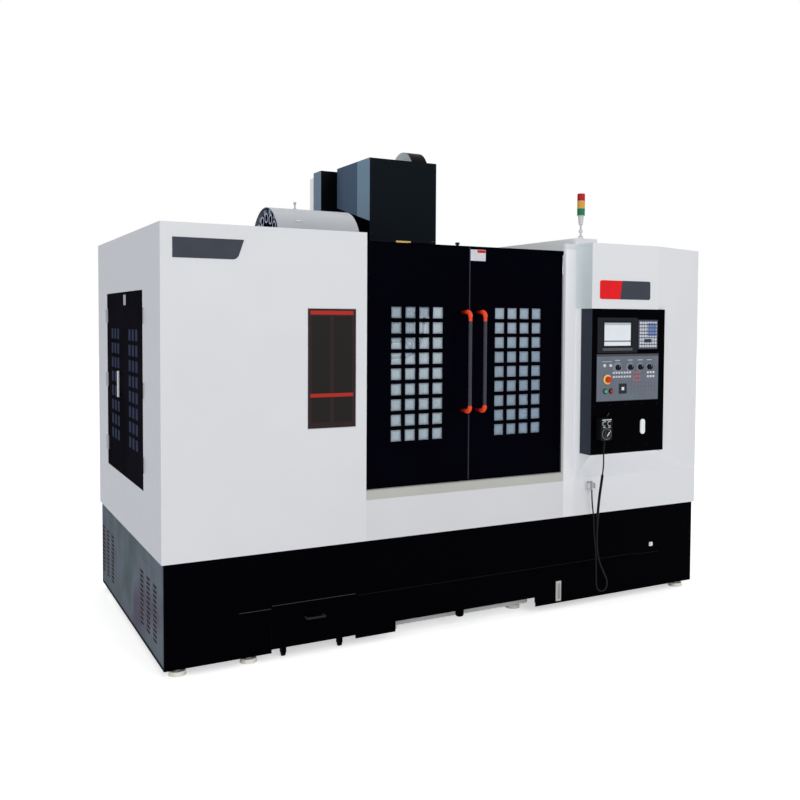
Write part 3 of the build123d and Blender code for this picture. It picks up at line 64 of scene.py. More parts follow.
class Shader:
    """A Principled material whose colour, roughness and bump come from nodes."""

    def __init__(self, name, roughness=0.4, metallic=0.0, specular=0.5):
        self.material = bpy.data.materials.new(name)
        self.material.use_nodes = True
        self.tree = self.material.node_tree
        self.shader = self.tree.nodes["Principled BSDF"]
        self.shader.inputs["Metallic"].default_value = metallic
        self.shader.inputs["Roughness"].default_value = roughness
        self.shader.inputs["Specular IOR Level"].default_value = specular
        coords = self.node("ShaderNodeTexCoord")
        self.place = coords.outputs["Object"]
        split = self.node("ShaderNodeSeparateXYZ")
        self.link(self.place, split.inputs[0])
        self.axis = {"x": split.outputs[0], "y": split.outputs[1], "z": split.outputs[2]}

    def node(self, kind, **values):
        node = self.tree.nodes.new(kind)
        for key, value in values.items():
            setattr(node, key, value)
        return node

    def link(self, a, b):
        self.tree.links.new(a, b)

    def math(self, operation, a, b=None):
        node = self.node("ShaderNodeMath", operation=operation)
        for index, value in enumerate((a, b)):
            if value is None:
                continue
            if isinstance(value, (int, float)):
                node.inputs[index].default_value = value
            else:
                self.link(value, node.inputs[index])
        return node.outputs[0]

    def noise(self, scale, detail=3.0, stretch=(1, 1, 1)):
        mapping = self.node("ShaderNodeMapping")
        mapping.inputs["Scale"].default_value = stretch
        self.link(self.place, mapping.inputs[0])
        node = self.node("ShaderNodeTexNoise")
        node.inputs["Scale"].default_value = scale
        node.inputs["Detail"].default_value = detail
        self.link(mapping.outputs[0], node.inputs["Vector"])
        return node.outputs["Fac"]

    def ramp(self, value, stops):
        node = self.node("ShaderNodeValToRGB")
        elements = node.color_ramp.elements
        while len(elements) < len(stops):
            elements.new(1.0)
        for element, (position, colour) in zip(elements, stops):
            element.position = position
            element.color = colour
        self.link(value, node.inputs[0])
        return node.outputs[0]

    def mix(self, factor, a, b):
        """Colour a where the factor is 0, and b where it is 1."""
        node = self.node("ShaderNodeMix", data_type="RGBA")
        for socket, value in ((node.inputs[0], factor), (node.inputs[6], a), (node.inputs[7], b)):
            if isinstance(value, (int, float, tuple)):
                socket.default_value = value
            else:
                self.link(value, socket)
        return node.outputs[2]

    # Zones are 1 inside and 0 outside; above, below and between take metres

    def above(self, axis, value):
        return self.math("GREATER_THAN", self.axis[axis], value)

    def below(self, axis, value):
        return self.math("LESS_THAN", self.axis[axis], value)

    def both(self, a, b):
        return self.math("MULTIPLY", a, b)

    def either(self, a, b):
        """One of two zones that don't overlap."""
        return self.math("ADD", a, b)

    def between(self, axis, low, high):
        return self.both(self.above(axis, low), self.below(axis, high))

    def box(self, low, high):
        """Zone inside a box given in millimetres from the front plane."""
        a, b = mm(*low), mm(*high)
        inside = self.both(self.between("x", a.x, b.x), self.between("y", a.y, b.y))
        return self.both(inside, self.between("z", a.z, b.z))

    def face(self, x0, z0, x1, z1, front=-180):
        """Zone on the front of the console, in millimetres."""
        return self.box((x0, front, z0), (x1, -160, z1))

    def disc(self, along, centre, radius):
        """Zone inside a round column along one axis, in millimetres from the front plane."""
        square = 0.0
        for axis, value in zip("xyz", mm(*centre)):
            if axis != along:
                away = self.math("SUBTRACT", self.axis[axis], value)
                square = self.math("ADD", square, self.math("MULTIPLY", away, away))
        return self.math("LESS_THAN", square, (radius / 1000) ** 2)

    def rise(self, stops, top=2.4):
        """Colour that changes with height, with its stops in metres."""
        height = self.math("DIVIDE", self.axis["z"], top)
        return self.ramp(height, [(z / top, colour) for z, colour in stops])

    def mottled(self, colour, amount=0.04, scale=2.5):
        """A colour with slow cloudy variation."""
        dark = tuple(c * (1 - amount) for c in colour[:3]) + (1.0,)
        light = tuple(min(1.0, c * (1 + amount)) for c in colour[:3]) + (1.0,)
        return self.ramp(self.noise(scale), [(0.3, dark), (0.7, light)])

    def colour(self, socket):
        self.link(socket, self.shader.inputs["Base Color"])
        return self

    def rough(self, low, high, scale=30.0):
        node = self.node("ShaderNodeMapRange")
        node.inputs["To Min"].default_value = low
        node.inputs["To Max"].default_value = high
        self.link(self.noise(scale), node.inputs["Value"])
        self.link(node.outputs[0], self.shader.inputs["Roughness"])
        return self

    def bump(self, scale, strength, distance, stretch=(1, 1, 1)):
        node = self.node("ShaderNodeBump")
        node.inputs["Strength"].default_value = strength
        node.inputs["Distance"].default_value = distance
        self.link(self.noise(scale, 2.0, stretch), node.inputs["Height"])
        self.link(node.outputs[0], self.shader.inputs["Normal"])
        return self


def paint(name, rgb, rough=(0.3, 0.42), amount=0.03, peel=0.08, specular=0.12, extra=None):
    s = Shader(name, specular=specular)
    base = s.mottled(srgb(*rgb), amount)
    base = extra(s, base) if extra else base
    return s.colour(base).rough(*rough).bump(700.0, peel, 0.0004).material


def plastic(name, rgb, rough=(0.35, 0.5), amount=0.05, grain=0.15, specular=0.1, extra=None):
    s = Shader(name, specular=specular)
    base = s.mottled(srgb(*rgb), amount, 14.0)
    base = extra(s, base) if extra else base
    return s.colour(base).rough(*rough, scale=90.0).bump(1600.0, grain, 0.0002).material


def metal(name, rgb, rough=(0.22, 0.4), stretch=(1, 1, 30), amount=0.06):
    s = Shader(name, metallic=1.0)
    streaks = s.noise(60.0, 4.0, stretch)
    dark = tuple(c * (1 - amount) for c in srgb(*rgb)[:3]) + (1.0,)
    light = tuple(min(1.0, c * (1 + amount)) for c in srgb(*rgb)[:3]) + (1.0,)
    s.colour(s.ramp(streaks, [(0.3, dark), (0.7, light)]))
    return s.rough(*rough, scale=50.0).bump(120.0, 0.1, 0.0003, stretch=stretch).material


def put(names, material):
    """Give the named CAD nodes one material."""
    for name in names.split():
        node = NODES[name]
        for slot in node.material_slots:
            slot.material = material
        if not node.material_slots:
            node.data.materials.append(material)


WHITE = (217, 219, 223)
WING_WHITE = (221, 223, 227)
# Lighter white, used as painted light on faces that stand in shade.
SHADE_LIFT_WHITE = (246, 250, 252)
JAMB_EDGE = 0.7013
HOUSING_SIDE = 0.7826
HOUSING_CORNER = 0.784
HOUSING_FRONT = row_y(-164.9)


def front_colour(s, base):
    """Lighter paint where the doors and the console keep the front panel in shade."""
    edge = s.both(s.between("x", 0.6965, JAMB_EDGE), s.above("y", row_y(0.6)))
    strip = s.both(s.between("x", JAMB_EDGE, HOUSING_CORNER), s.between("z", 0.5, 2.33))
    tone = s.rise([(0.72, srgb(224, 226, 230)), (1.152, srgb(236, 237, 241))])
    base = s.mix(s.above("x", HOUSING_CORNER), base, srgb(*WING_WHITE))
    base = s.mix(strip, base, tone)
    return s.mix(edge, base, srgb(253, 254, 255))


def duct_shade_lift(s, base):
    """Painted light: lighter paint on the duct's left side, over the doors, where it stands in
    shade.
    """
    return s.mix(s.below("x", HOUSING_SIDE), base, srgb(*SHADE_LIFT_WHITE))


def side_shade_colour(s, base):
    """Side walls in a painted shade of the enclosure white, a little deeper in tone towards the
    base.
    """
    return s.rise([(0.72, srgb(181, 185, 194)), (1.92, srgb(189, 193, 201))])


def shroud_light_and_shade(s, base):
    """Console housing with painted light and shade: its left side, front and underside each have
    their own tone of the one white paint.
    """
    facet_light_and_shade = s.below("x", HOUSING_SIDE)
    upper = s.above("z", 1.953)
    facing = s.node("ShaderNodeSeparateXYZ")
    s.link(s.node("ShaderNodeNewGeometry").outputs["True Normal"], facing.inputs[0])
    under = s.math("LESS_THAN", facing.outputs[2], -0.2)
    front = s.below("y", HOUSING_FRONT)
    # Painted shade on the upper left side, painted light on the lower left side and on the
    # underside.
    tone = s.mix(upper, srgb(246, 248, 251), srgb(217, 229, 232))
    base = s.mix(front, base, srgb(220, 222, 226))
    base = s.mix(under, base, srgb(238, 240, 246))
    return s.mix(facet_light_and_shade, base, tone)


shade_lift_paint = paint("white_shade_lift", SHADE_LIFT_WHITE, amount=0.01)
put("left_front_panel right_front_panel rear_panels",
    paint("white_enclosure", WHITE, amount=0.015, extra=front_colour))
put("cable_duct", paint("white_duct", WHITE, amount=0.015, extra=duct_shade_lift))
# The side walls' darker white is painted shade.
put("left_side_wall right_side_wall",
    paint("white_sides_shaded", (189, 193, 201), amount=0.015, extra=side_shade_colour))
put("console_shroud", paint("white_shroud", WING_WHITE, amount=0.015, extra=shroud_light_and_shade))
put("lower_front_panel", paint("white_lower", (212, 213, 217), amount=0.015))
put("front_sill", paint("beige_rail", (183, 183, 178), amount=0.03))


def base_colour(s, base):
    """Drawer pull and level gauge of the black base."""
    gauge = s.box((655, 3, 55), (703, 11.9, 192))
    pull = s.box((-1085, -40, 195), (-945, 11.9, 240))
    base = s.mix(pull, base, srgb(44, 45, 48))
    return s.mix(gauge, base, srgb(196, 196, 190))


put("base_front chip_drawer coolant_tank",
    paint("black_base", (2, 2, 5), amount=0.2, specular=0.006, extra=base_colour))


def skirt_sheen_colour(s, base):
    """Grey painted sheen on black paint, cloudy, darker in a band along the bottom, along the top
    edge and towards the front.
    """
    clouds = s.ramp(s.noise(2.4, 2.5), [
        (0.34, srgb(92, 103, 108)), (0.5, srgb(108, 117, 127)), (0.66, srgb(97, 94, 110)),
    ])
    edges = s.either(s.between("z", 0.0, 0.066), s.between("z", 0.597, 0.61))
    front = s.below("y", row_y(27))
    clouds = s.mix(s.math("MULTIPLY", front, 0.6), clouds, srgb(40, 48, 52))
    return s.mix(edges, clouds, srgb(44, 47, 54))


# The side skirts are black paint; their grey is painted sheen.
skirt_sheen_paint = paint("black_skirt_sheen", (98, 107, 118), rough=(0.6, 0.7), amount=0.2,
                    specular=0.0, extra=skirt_sheen_colour)
put("base_skirts", skirt_sheen_paint)
put("door_left door_right door_header",
    paint("black_door", (2, 2, 9), rough=(0.2, 0.3), amount=0.2, specular=0.006))


def foot_painted_shadow(s, base):
    """Painted shadow: the feet at the left end are dark above their pads."""
    corner_shadow = s.both(s.below("x", -1.66), s.above("z", 0.03))
    return s.mix(corner_shadow, base, srgb(34, 34, 36))


# The feet are painted near-white as painted light in the shade under the machine.
put("levelling_feet", paint("foot_cream", (246, 243, 235), amount=0.03, extra=foot_painted_shadow))
put("bed saddle", paint("casting_light", (212, 215, 214), peel=0.4))


def head_colour(s, base):
    """Black where the castings stand up out of the enclosure."""
    return s.mix(s.above("z", 2.24), base, srgb(3, 4, 6))


put("head magazine_frame", paint("casting_green", (132, 140, 142), rough=(0.5, 0.6), peel=0.4,
                                 specular=0.005, extra=head_colour))
put("table", metal("ground_table", (150, 150, 150), stretch=(40, 1, 1)))
put("spindle changer_shaft changer_arm", metal("ground_steel", (175, 176, 178)))
put("chip_pans", metal("pan_sheet", (165, 168, 170), stretch=(1, 12, 1)))
put("spindle_motor z_motor", paint("motor_black", (4, 4, 6), amount=0.2, specular=0.01))
put("electrical_cabinet cabinet_door", paint("cabinet_grey", (226, 228, 229), peel=0.35))
# The white cover is painted grey: painted shade.
put("magazine_cover", paint("cover_white_shaded", (174, 177, 182), amount=0.03))


def console_lit_side(s, base):
    """Painted light on the black case's left side, and the white grip of the lower door."""
    # The lighter left side is painted light.
    side = s.below("x", 0.7853)
    grip = s.box((1185, -173, 1130), (1235, -165.3, 1245))
    return s.mix(grip, s.mix(side, base, srgb(62, 67, 79)), srgb(236, 238, 240))


put("console_case console_door",
    paint("console_black", (2, 2, 4), rough=(0.28, 0.38), specular=0.008,
          extra=console_lit_side))


def handle_shade_and_highlight(s, base):
    """Red bent ends, with painted shade deepening towards the door and a painted highlight at their
    front.
    """
    ends = s.either(s.between("z", 1.868, 2.5), s.between("z", 0.5, 1.364))
    reach = s.math("SUBTRACT", row_y(28), s.axis["y"])
    # Painted shade near the door, painted highlight at the front end.
    tone = s.ramp(s.math("DIVIDE", reach, 0.075), [
        (0.3, srgb(112, 12, 10)), (0.7, srgb(196, 36, 18)), (0.98, srgb(236, 76, 40)),
    ])
    return s.mix(ends, base, tone)


put("door_left_handle door_right_handle",
    plastic("handle_tube", (62, 62, 72), rough=(0.22, 0.32), extra=handle_shade_and_highlight))


def leaf_colour(s, base):
    """Window sheet, rear hinge knuckles in the side walls' painted shade of white, and grip of the
    side doors.
    """
    window = s.between("x", -1.8475, -1.838)
    grip = s.box((-1880, 1040, 1392), (-1866, 1061, 1553))
    knuckles = s.both(s.below("x", -1.85005), s.above("y", row_y(1480)))
    base = s.mix(window, base, srgb(56, 62, 84))
    # Knuckles in the walls' painted shade of white.
    base = s.mix(knuckles, base, srgb(180, 184, 192))
    return s.mix(grip, base, srgb(218, 220, 223))


put("side_door_front side_door_rear",
    paint("black_service_door", (20, 20, 26), rough=(0.5, 0.6), amount=0.3, specular=0.0,
          extra=leaf_colour))


def cover_side_light(s, base):
    """Painted light: two blue-grey tones on the black cover's sides, above a slanted line."""
    outer = s.math("GREATER_THAN", s.math("ABSOLUTE", s.axis["x"]), 0.2565)
    near_light = s.between("y", row_y(900), row_y(1119))
    # Blue-grey painted light on black paint: lighter on the near section, deeper behind.
    tone = s.mix(near_light, srgb(85, 103, 126), srgb(127, 152, 173))
    rise = s.math("MULTIPLY", s.math("SUBTRACT", s.axis["y"], row_y(971)), 0.253)
    above = s.math("GREATER_THAN", s.math("SUBTRACT", s.axis["z"], rise), 2.554)
    base = s.mix(outer, base, srgb(3, 4, 6))
    return s.mix(s.both(outer, above), base, tone)


def column_paint_and_light(s, base):
    """Over the enclosure: black front, blue-grey painted light on the black sides, and white rear.
    """
    front = s.below("y", row_y(1477))
    side = s.math("GREATER_THAN", s.math("ABSOLUTE", s.axis["x"]), 0.3815)
    ends = s.mix(front, srgb(250, 252, 253), srgb(4, 5, 8))
    upper = s.above("z", 1.7)
    # The sides' blue-grey is painted light on black paint.
    return s.mix(upper, base, s.mix(side, ends, srgb(110, 132, 155)))


put("column", paint("column_paint", (232, 235, 236), specular=0.04, extra=column_paint_and_light))


def guard_colour(s, base):
    """Dark rim of the half-round guard."""
    rim = s.above("x", 0.2632)
    return s.mix(rim, base, srgb(12, 15, 19))


# The guard's grey is painted shade of its light sheet.
put("chain_guard", paint("guard_paint", (172, 182, 188), specular=0.02, extra=guard_colour))
put("head_cover", paint("head_cover_black", (24, 29, 34), rough=(0.3, 0.42), specular=0.0,
                        extra=cover_side_light))


PANE_PITCH = (0.092, 0.090)
PANE_START = (0.173, 1.151)
PANE_HALF = 0.0335
PANE_LINES = 4
SHEET_ALPHA = 0.28


def glass():
    """Dull window sheet that shows the chamber, darker towards the edges of its panes."""
    s = Shader("window_polycarbonate", roughness=0.08)
    cloud = s.noise(2.2, 2.0)
    left = s.ramp(cloud, [(0.3, srgb(206, 230, 247)), (0.7, srgb(222, 244, 255))])
    right = s.ramp(cloud, [(0.3, srgb(156, 190, 218)), (0.7, srgb(174, 206, 234))])
    base = s.mix(s.above("x", 0.0), left, right)
    edges, lines = [], []
    across = s.math("ABSOLUTE", s.axis["x"])
    for value, start, pitch in zip((across, s.axis["z"]), PANE_START, PANE_PITCH):
        turn = s.math("FRACT", s.math("DIVIDE", s.math("SUBTRACT", value, start), pitch))
        away = s.math("ABSOLUTE", s.math("SUBTRACT", turn, 0.5))
        edges.append(s.math("MULTIPLY", away, pitch / PANE_HALF))
        wave = s.math("SINE", s.math("MULTIPLY", turn, 2 * math.pi * PANE_LINES))
        lines.append(s.math("GREATER_THAN", wave, 0.7))
    line = s.math("MULTIPLY", s.math("MAXIMUM", *lines), 0.16)
    base = s.mix(line, base, srgb(120, 140, 150))
    # Each pane darkens softly towards its edges.
    dark_edging = s.ramp(s.math("MAXIMUM", *edges), [(0.62, (0, 0, 0, 1)), (1.0, (0.85, 0.85, 0.85, 1))])
    s.colour(s.mix(dark_edging, base, srgb(84, 100, 110)))
    s.shader.inputs["Alpha"].default_value = SHEET_ALPHA
    s.rough(0.05, 0.12, 8.0)
    return s.material


put("door_left_glass door_right_glass", glass())


LENS_LOW = 2556.0
LENS_PITCH = 46.5


def lens_colour(s, base):
    """Green, amber and red lens, from the lowest up."""
    amber = s.above("z", (LENS_LOW + LENS_PITCH) / 1000)
    red = s.above("z", (LENS_LOW + 2 * LENS_PITCH) / 1000)
    return s.mix(red, s.mix(amber, srgb(36, 118, 78), srgb(214, 160, 64)), srgb(176, 30, 36))


put("beacon_lenses", plastic("signal_lenses", (36, 118, 78), rough=(0.12, 0.2), extra=lens_colour))
put("beacon_stem", plastic("signal_stem", (205, 207, 208)))


SCREEN_FRONT = -169.5


def screen_colour(s, base):
    """Lit screen with a band and a line, and the row of soft keys under it."""
    screen = s.face(880, 1716, 1099, 1864, SCREEN_FRONT)
    band = s.face(880, 1848, 1099, 1864, SCREEN_FRONT)
    line = s.face(880, 1741, 1099, 1750, SCREEN_FRONT)
    picture = s.ramp(s.noise(6.0), [(0.3, srgb(222, 227, 234)), (0.7, srgb(232, 236, 241))])
    inner = s.face(868, 1706, 1112, 1876)
    keys = s.face(868, 1685, 1112, 1702)
    base = s.mix(inner, srgb(24, 26, 32), srgb(10, 12, 20))
    base = s.mix(keys, base, srgb(84, 88, 94))
    picture = s.mix(line, picture, srgb(112, 124, 140))
    return s.mix(screen, base, s.mix(band, picture, srgb(176, 190, 204)))


put("display_unit", plastic("display_bezel", (13, 14, 18), extra=screen_colour))


KEY_WHITE = (206, 208, 212)


def key_colour(s, base):
    """Pale keys with a blue block and a dark bar."""
    keys = s.below("y", row_y(-169.3))
    block = s.face(1240, 1776, 1315, 1862)
    bar = s.face(1212, 1736, 1272, 1758)
    tone = s.mix(block, srgb(200, 204, 214), srgb(120, 140, 190))
    tone = s.mix(bar, tone, srgb(34, 34, 38))
    return s.mix(keys, base, tone)


put("keypad", plastic("membrane_keys", (66, 71, 88), extra=key_colour))


def control_colour(s, base):
    """Grey foil with pale, faint and rose keys, a painted shadow along its top, and the yellow
    collar of the stop.
    """
    keys = s.below("y", row_y(-170.4))
    faint = s.face(1112, 1400, 1300, 1476)
    rose = s.face(1118, 1482, 1184, 1552)
    tone = s.mix(faint, srgb(206, 209, 215), srgb(112, 116, 128))
    tone = s.mix(rose, tone, srgb(184, 104, 116))
    shade = s.face(800, 1648, 1345, 1668)
    base = s.mix(keys, s.mix(shade, base, srgb(76, 75, 80)), tone)
    for x, z, radius, tone in ((907, 1502, 31.5, (236, 170, 62)), (880, 1591, 11, KEY_WHITE),
                               (930, 1591, 11, KEY_WHITE)):
        round_key = s.disc("y", (x, 0, z), radius)
        base = s.mix(s.both(round_key, keys), base, srgb(*tone))
    return base


put("operator_panel", plastic("control_foil", (102, 111, 122), extra=control_colour))
put("emergency_stop", plastic("stop_red", (206, 52, 24), rough=(0.18, 0.26)))
put("cycle_start", plastic("start_green", (88, 160, 134), rough=(0.18, 0.26)))
put("cycle_stop", plastic("stop_button_red", (160, 62, 46), rough=(0.18, 0.26)))
put("knob_mode knob_feed knob_rapid knob_spindle", plastic("knob_black", (22, 22, 24)))
put("pendant", plastic("pendant_case", (16, 17, 21)))
put("pendant_dial", plastic("dial_black", (26, 28, 32)))


def socket_colour(s, base):
    """Two small grey plugs on a plate in the tone of the wall."""
    inner = s.either(s.between("x", 0.889, 0.905), s.between("x", 0.915, 0.931))
    return s.mix(inner, srgb(212, 214, 218), base)


put("cord_sockets", plastic("socket_grey", (150, 150, 152), extra=socket_colour))


MAGAZINE_CENTRE = (756, 2297)
TOOL_POTS = 16


def magazine_colour(s, base):
    """Blue disc with a painted highlight on the rims at its open end, and a pale hub."""
    hub = s.disc("x", (0, *MAGAZINE_CENTRE), 62.5)
    rim_highlight = s.below("x", -1.0345)
    # Painted highlight on the pots' open ends.
    base = s.mix(rim_highlight, base, srgb(196, 204, 222))
    return s.mix(hub, base, srgb(205, 207, 210))


put("tool_magazine change_pot", plastic("pot_blue", (28, 36, 66), extra=magazine_colour))


# Pendant lead: the route of the CAD tube, in millimetres

LEAD_ROUTE = [
    (875.0, -190.0, 1116.0),
    (870.0, -190.0, 1040.0),
    (877.0, -186.0, 960.0),
    (868.0, -180.0, 860.0),
    (854.0, -174.0, 750.0),
    (850.0, -166.0, 640.0),
    (850.0, -158.0, 530.0),
    (862.0, -148.0, 420.0),
    (893.0, -136.0, 320.0),
    (945.0, -122.0, 240.0),
    (984.0, -110.0, 182.0),
    (984.0, -98.0, 122.0),
    (959.0, -80.0, 104.0),
    (933.0, -62.0, 122.0),
    (936.0, -54.0, 200.0),
    (940.0, -46.0, 310.0),
    (936.0, -42.0, 400.0),
    (924.0, -38.0, 500.0),
    (926.0, -34.0, 590.0),
    (912.0, -30.0, 690.0),
    (910.0, -30.0, 770.0),
]
LEAD_DIAMETER = 0.009


def spline_points(route):
    """The smooth line, read from a curve with no bevel."""
    probe = curve_object("lead_probe", route, 0.0)
    mesh = bpy.data.meshes.new_from_object(probe)
    points = [v.co.copy() for v in mesh.vertices]
    bpy.data.meshes.remove(mesh)
    bpy.data.objects.remove(probe)
    return points


def curve_object(name, route, radius):
    """NURBS curve with a round section, along a route in millimetres."""
    data = bpy.data.curves.new(name, "CURVE")
    data.dimensions = "3D"
    data.resolution_u = 16
    spline = data.splines.new("NURBS")
    spline.points.add(len(route) - 1)
    for point, place in zip(spline.points, route):
        point.co = (*mm(*place), 1.0)
    spline.order_u = 3
    spline.use_endpoint_u = True
    data.bevel_depth = radius
    data.bevel_resolution = 6
    data.use_fill_caps = True
    piece = bpy.data.objects.new(name, data)
    bpy.context.scene.collection.objects.link(piece)
    return piece


LEAD_LINE = spline_points(LEAD_ROUTE)
lead = curve_object("pendant_lead_spline", LEAD_ROUTE, LEAD_DIAMETER / 2)
lead.data.materials.append(plastic("lead_rubber", (22, 22, 24), rough=(0.45, 0.6)))
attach(lead, "machine")
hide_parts("pendant_lead")


# Detail pieces, in millimetres from the front plane


SHARP_ANGLE = math.radians(32)


class Detail:
    def __init__(self):
        self.bm = bmesh.new()

    def add(self, rings, closed=True, caps=True):
        """Skin a list of rings of points; a ring goes round, the list goes along."""
        rows = [[self.bm.verts.new(mm(*p)) for p in ring] for ring in rings]
        count = len(rows[0])
        for a, b in zip(rows, rows[1:]):
            for i in range(count if closed else count - 1):
                j = (i + 1) % count
                self.bm.faces.new((a[i], a[j], b[j], b[i]))
        if caps and closed:
            self.bm.faces.new(reversed(rows[0]))
            self.bm.faces.new(rows[-1])
        return self

    def box(self, low, high, edge=1.0):
        """Block with chamfered edges on its front and sides."""
        (x0, y0, z0), (x1, y1, z1) = low, high
        e = min(edge, (x1 - x0) / 3, (z1 - z0) / 3, (y1 - y0) / 3)

        def ring(y, inset):
            return [
                (x0 + inset, y, z0 + e), (x0 + e, y, z0 + inset), (x1 - e, y, z0 + inset),
                (x1 - inset, y, z0 + e), (x1 - inset, y, z1 - e), (x1 - e, y, z1 - inset),
                (x0 + e, y, z1 - inset), (x0 + inset, y, z1 - e),
            ]

        return self.add([ring(y0, e), ring(y0 + e, 0), ring(y1 - e, 0), ring(y1, e)])

    def plate(self, outline, y0, y1, edge=0.8):
        """Flat plate facing the front; its outline is (x, z) points in order."""
        cx = sum(p[0] for p in outline) / len(outline)
        cz = sum(p[1] for p in outline) / len(outline)

        def ring(y, inset):
            return [
                (x - math.copysign(min(inset, abs(x - cx)), x - cx), y,
                 z - math.copysign(min(inset, abs(z - cz)), z - cz)) for x, z in outline
            ]

        return self.add([ring(y0, edge), ring(y0 + edge, 0), ring(y1, 0)])

    def turned(self, axis, centre, profile, count=32, caps=True):
        """Turn a (radius, place) profile round a line along an axis."""
        rings = []
        for radius, place in profile:
            ring = []
            for i in range(count):
                a = 2 * math.pi * i / count
                u, v = radius * math.cos(a), radius * math.sin(a)
                ring.append({
                    "x": (place, centre[0] + u, centre[1] + v),
                    "y": (centre[0] + u, place, centre[1] + v),
                    "z": (centre[0] + u, centre[1] + v, place),
                }[axis])
            rings.append(ring)
        return self.add(rings, caps=caps)

    def tube(self, points, radius, count=12, radii=None):
        """Round tube along points."""
        line = [Vector(p) for p in points]
        side = None
        rings = []
        for i, place in enumerate(line):
            way = (line[min(i + 1, len(line) - 1)] - line[max(i - 1, 0)]).normalized()
            if side is None:
                side = way.orthogonal().normalized()
            side = (side - way * side.dot(way)).normalized()
            up = way.cross(side)
            r = radii[i] if radii else radius
            rings.append([
                tuple(place + (side * math.cos(a) + up * math.sin(a)) * r)
                for a in (2 * math.pi * k / count for k in range(count))
            ])
        return self.add(rings)

    def place(self, name, material, body="machine", slot=None, smooth=True):
        """Make the object and attach it to its body."""
        bmesh.ops.recalc_face_normals(self.bm, faces=self.bm.faces)
        mesh = bpy.data.meshes.new(name)
        self.bm.to_mesh(mesh)
        self.bm.free()
        mesh.materials.append(material)
        if smooth:
            for face in mesh.polygons:
                face.use_smooth = True
            mesh.set_sharp_from_angle(angle=SHARP_ANGLE)
        piece = bpy.data.objects.new(name, mesh)
        bpy.context.scene.collection.objects.link(piece)
        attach(piece, body)
        return piece


def curve(points, steps=8):
    """Smooth line through points."""
    line = [Vector(p) for p in points]
    line = [2 * line[0] - line[1]] + line + [2 * line[-1] - line[-2]]
    out = []
    for a, b, c, d in zip(line, line[1:], line[2:], line[3:]):
        for i in range(steps):
            t = i / steps
            out.append(tuple(0.5 * (2 * b + (c - a) * t + (2 * a - 5 * b + 4 * c - d) * t**2
                                    + (3 * b - a - 3 * c + d) * t**3)))
    return out + [tuple(line[-2])]


def rounded(x0, x1, z0, z1, radius, steps=6):
    """(x, z) outline of a rectangle with round corners."""
    out = []
    for cx, cz, start in ((x1 - radius, z0 + radius, -90), (x1 - radius, z1 - radius, 0),
                          (x0 + radius, z1 - radius, 90), (x0 + radius, z0 + radius, 180)):
        for i in range(steps + 1):
            a = math.radians(start + 90 * i / steps)
            out.append((cx + radius * math.cos(a), cz + radius * math.sin(a)))
    return out


def grid_row(centre, pitch, count):
    """Even places along a line, about its middle."""
    return [centre + pitch * (i - (count - 1) / 2) for i in range(count)]


badge_grey = plastic("badge_grey", (60, 64, 74), rough=(0.3, 0.4))
badge_red = plastic("badge_red", (222, 28, 34), rough=(0.3, 0.4))
label_white = plastic("label_white", (206, 208, 212), rough=(0.4, 0.5))
key_white = plastic("key_white", (205, 208, 214))
dark_rubber = plastic("dark_rubber", (20, 20, 23), rough=(0.5, 0.65))
steel_small = metal("small_steel", (150, 153, 158))
steel_dark = metal("dark_steel", (60, 62, 68), rough=(0.35, 0.5))


def panel_plates():
    """Bare plates of the front: two badges, the board and the small labels."""
    left = [(-1788, 2184), (-1472, 2184), (-1459, 2187), (-1449, 2195), (-1441, 2206),
            (-1413, 2289), (-1788, 2289)]
    Detail().plate(left, -2.4, 0).place("badge_left", badge_grey, slot="panel_grey")
    outline = rounded(843, 1261, 2013, 2132, 14)
    grey = [(max(x, 1008 + (z - 2013) * 0.13), z) for x, z in outline if x > 1000]
    grey += [(1024, 2132), (1008, 2013)]
    red = [(1008, 2013), (1024, 2132)] + [(x, z) for x, z in outline if x < 1000]
    Detail().plate(grey, -167.6, -165.2).place("badge_right_grey", badge_grey, slot="panel_grey")
    Detail().plate(red, -167.6, -165.2).place("badge_right_red", badge_red, slot="red_plastic")

    def board(s, base):
        bands = s.either(s.between("z", 1.899, 1.921), s.between("z", 1.441, 1.461))
        inner = s.between("x", -1.04, -0.782)
        bands = s.both(bands, inner)
        cells = s.both(s.between("x", -1.032, -0.924), s.between("z", 1.30, 1.89))
        more = s.both(s.between("x", -0.90, -0.79), s.between("z", 1.30, 1.89))
        cells = s.either(cells, more)
        tone = s.mix(cells, base, srgb(27, 25, 24))
        return s.mix(bands, tone, srgb(172, 44, 34))

    plaque = Detail().plate([(-1054, 1268), (-766, 1268), (-766, 1932), (-1054, 1932)], -1.8, 0)
    plaque.place("plain_board", plastic("board_dark", (44, 30, 32), rough=(0.35, 0.45),
                                        extra=board), slot="panel_grey")
    rim = Detail().plate([(-1059, 1263), (-761, 1263), (-761, 1937), (-1059, 1937)], -0.9, 0, 0.3)
    rim.place("plain_board_rim", label_white)
    label = Detail().plate(rounded(2, 112, 2234, 2302, 3), 28.9, 30.0, 0.3)

    def block(s, base):
        return s.mix(s.box((52, 20, 2283), (110, 40, 2300)), base, srgb(190, 36, 32))

    label.place("door_label", plastic("label_block", (204, 206, 214), extra=block), "right_door")
    gold = Detail().plate([(-56, 2399), (58, 2399), (58, 2417), (-56, 2417)], 914.9, 916.0, 0.3)
    gold.place("head_label", metal("gold_label", (176, 150, 92), rough=(0.3, 0.45)), "head")


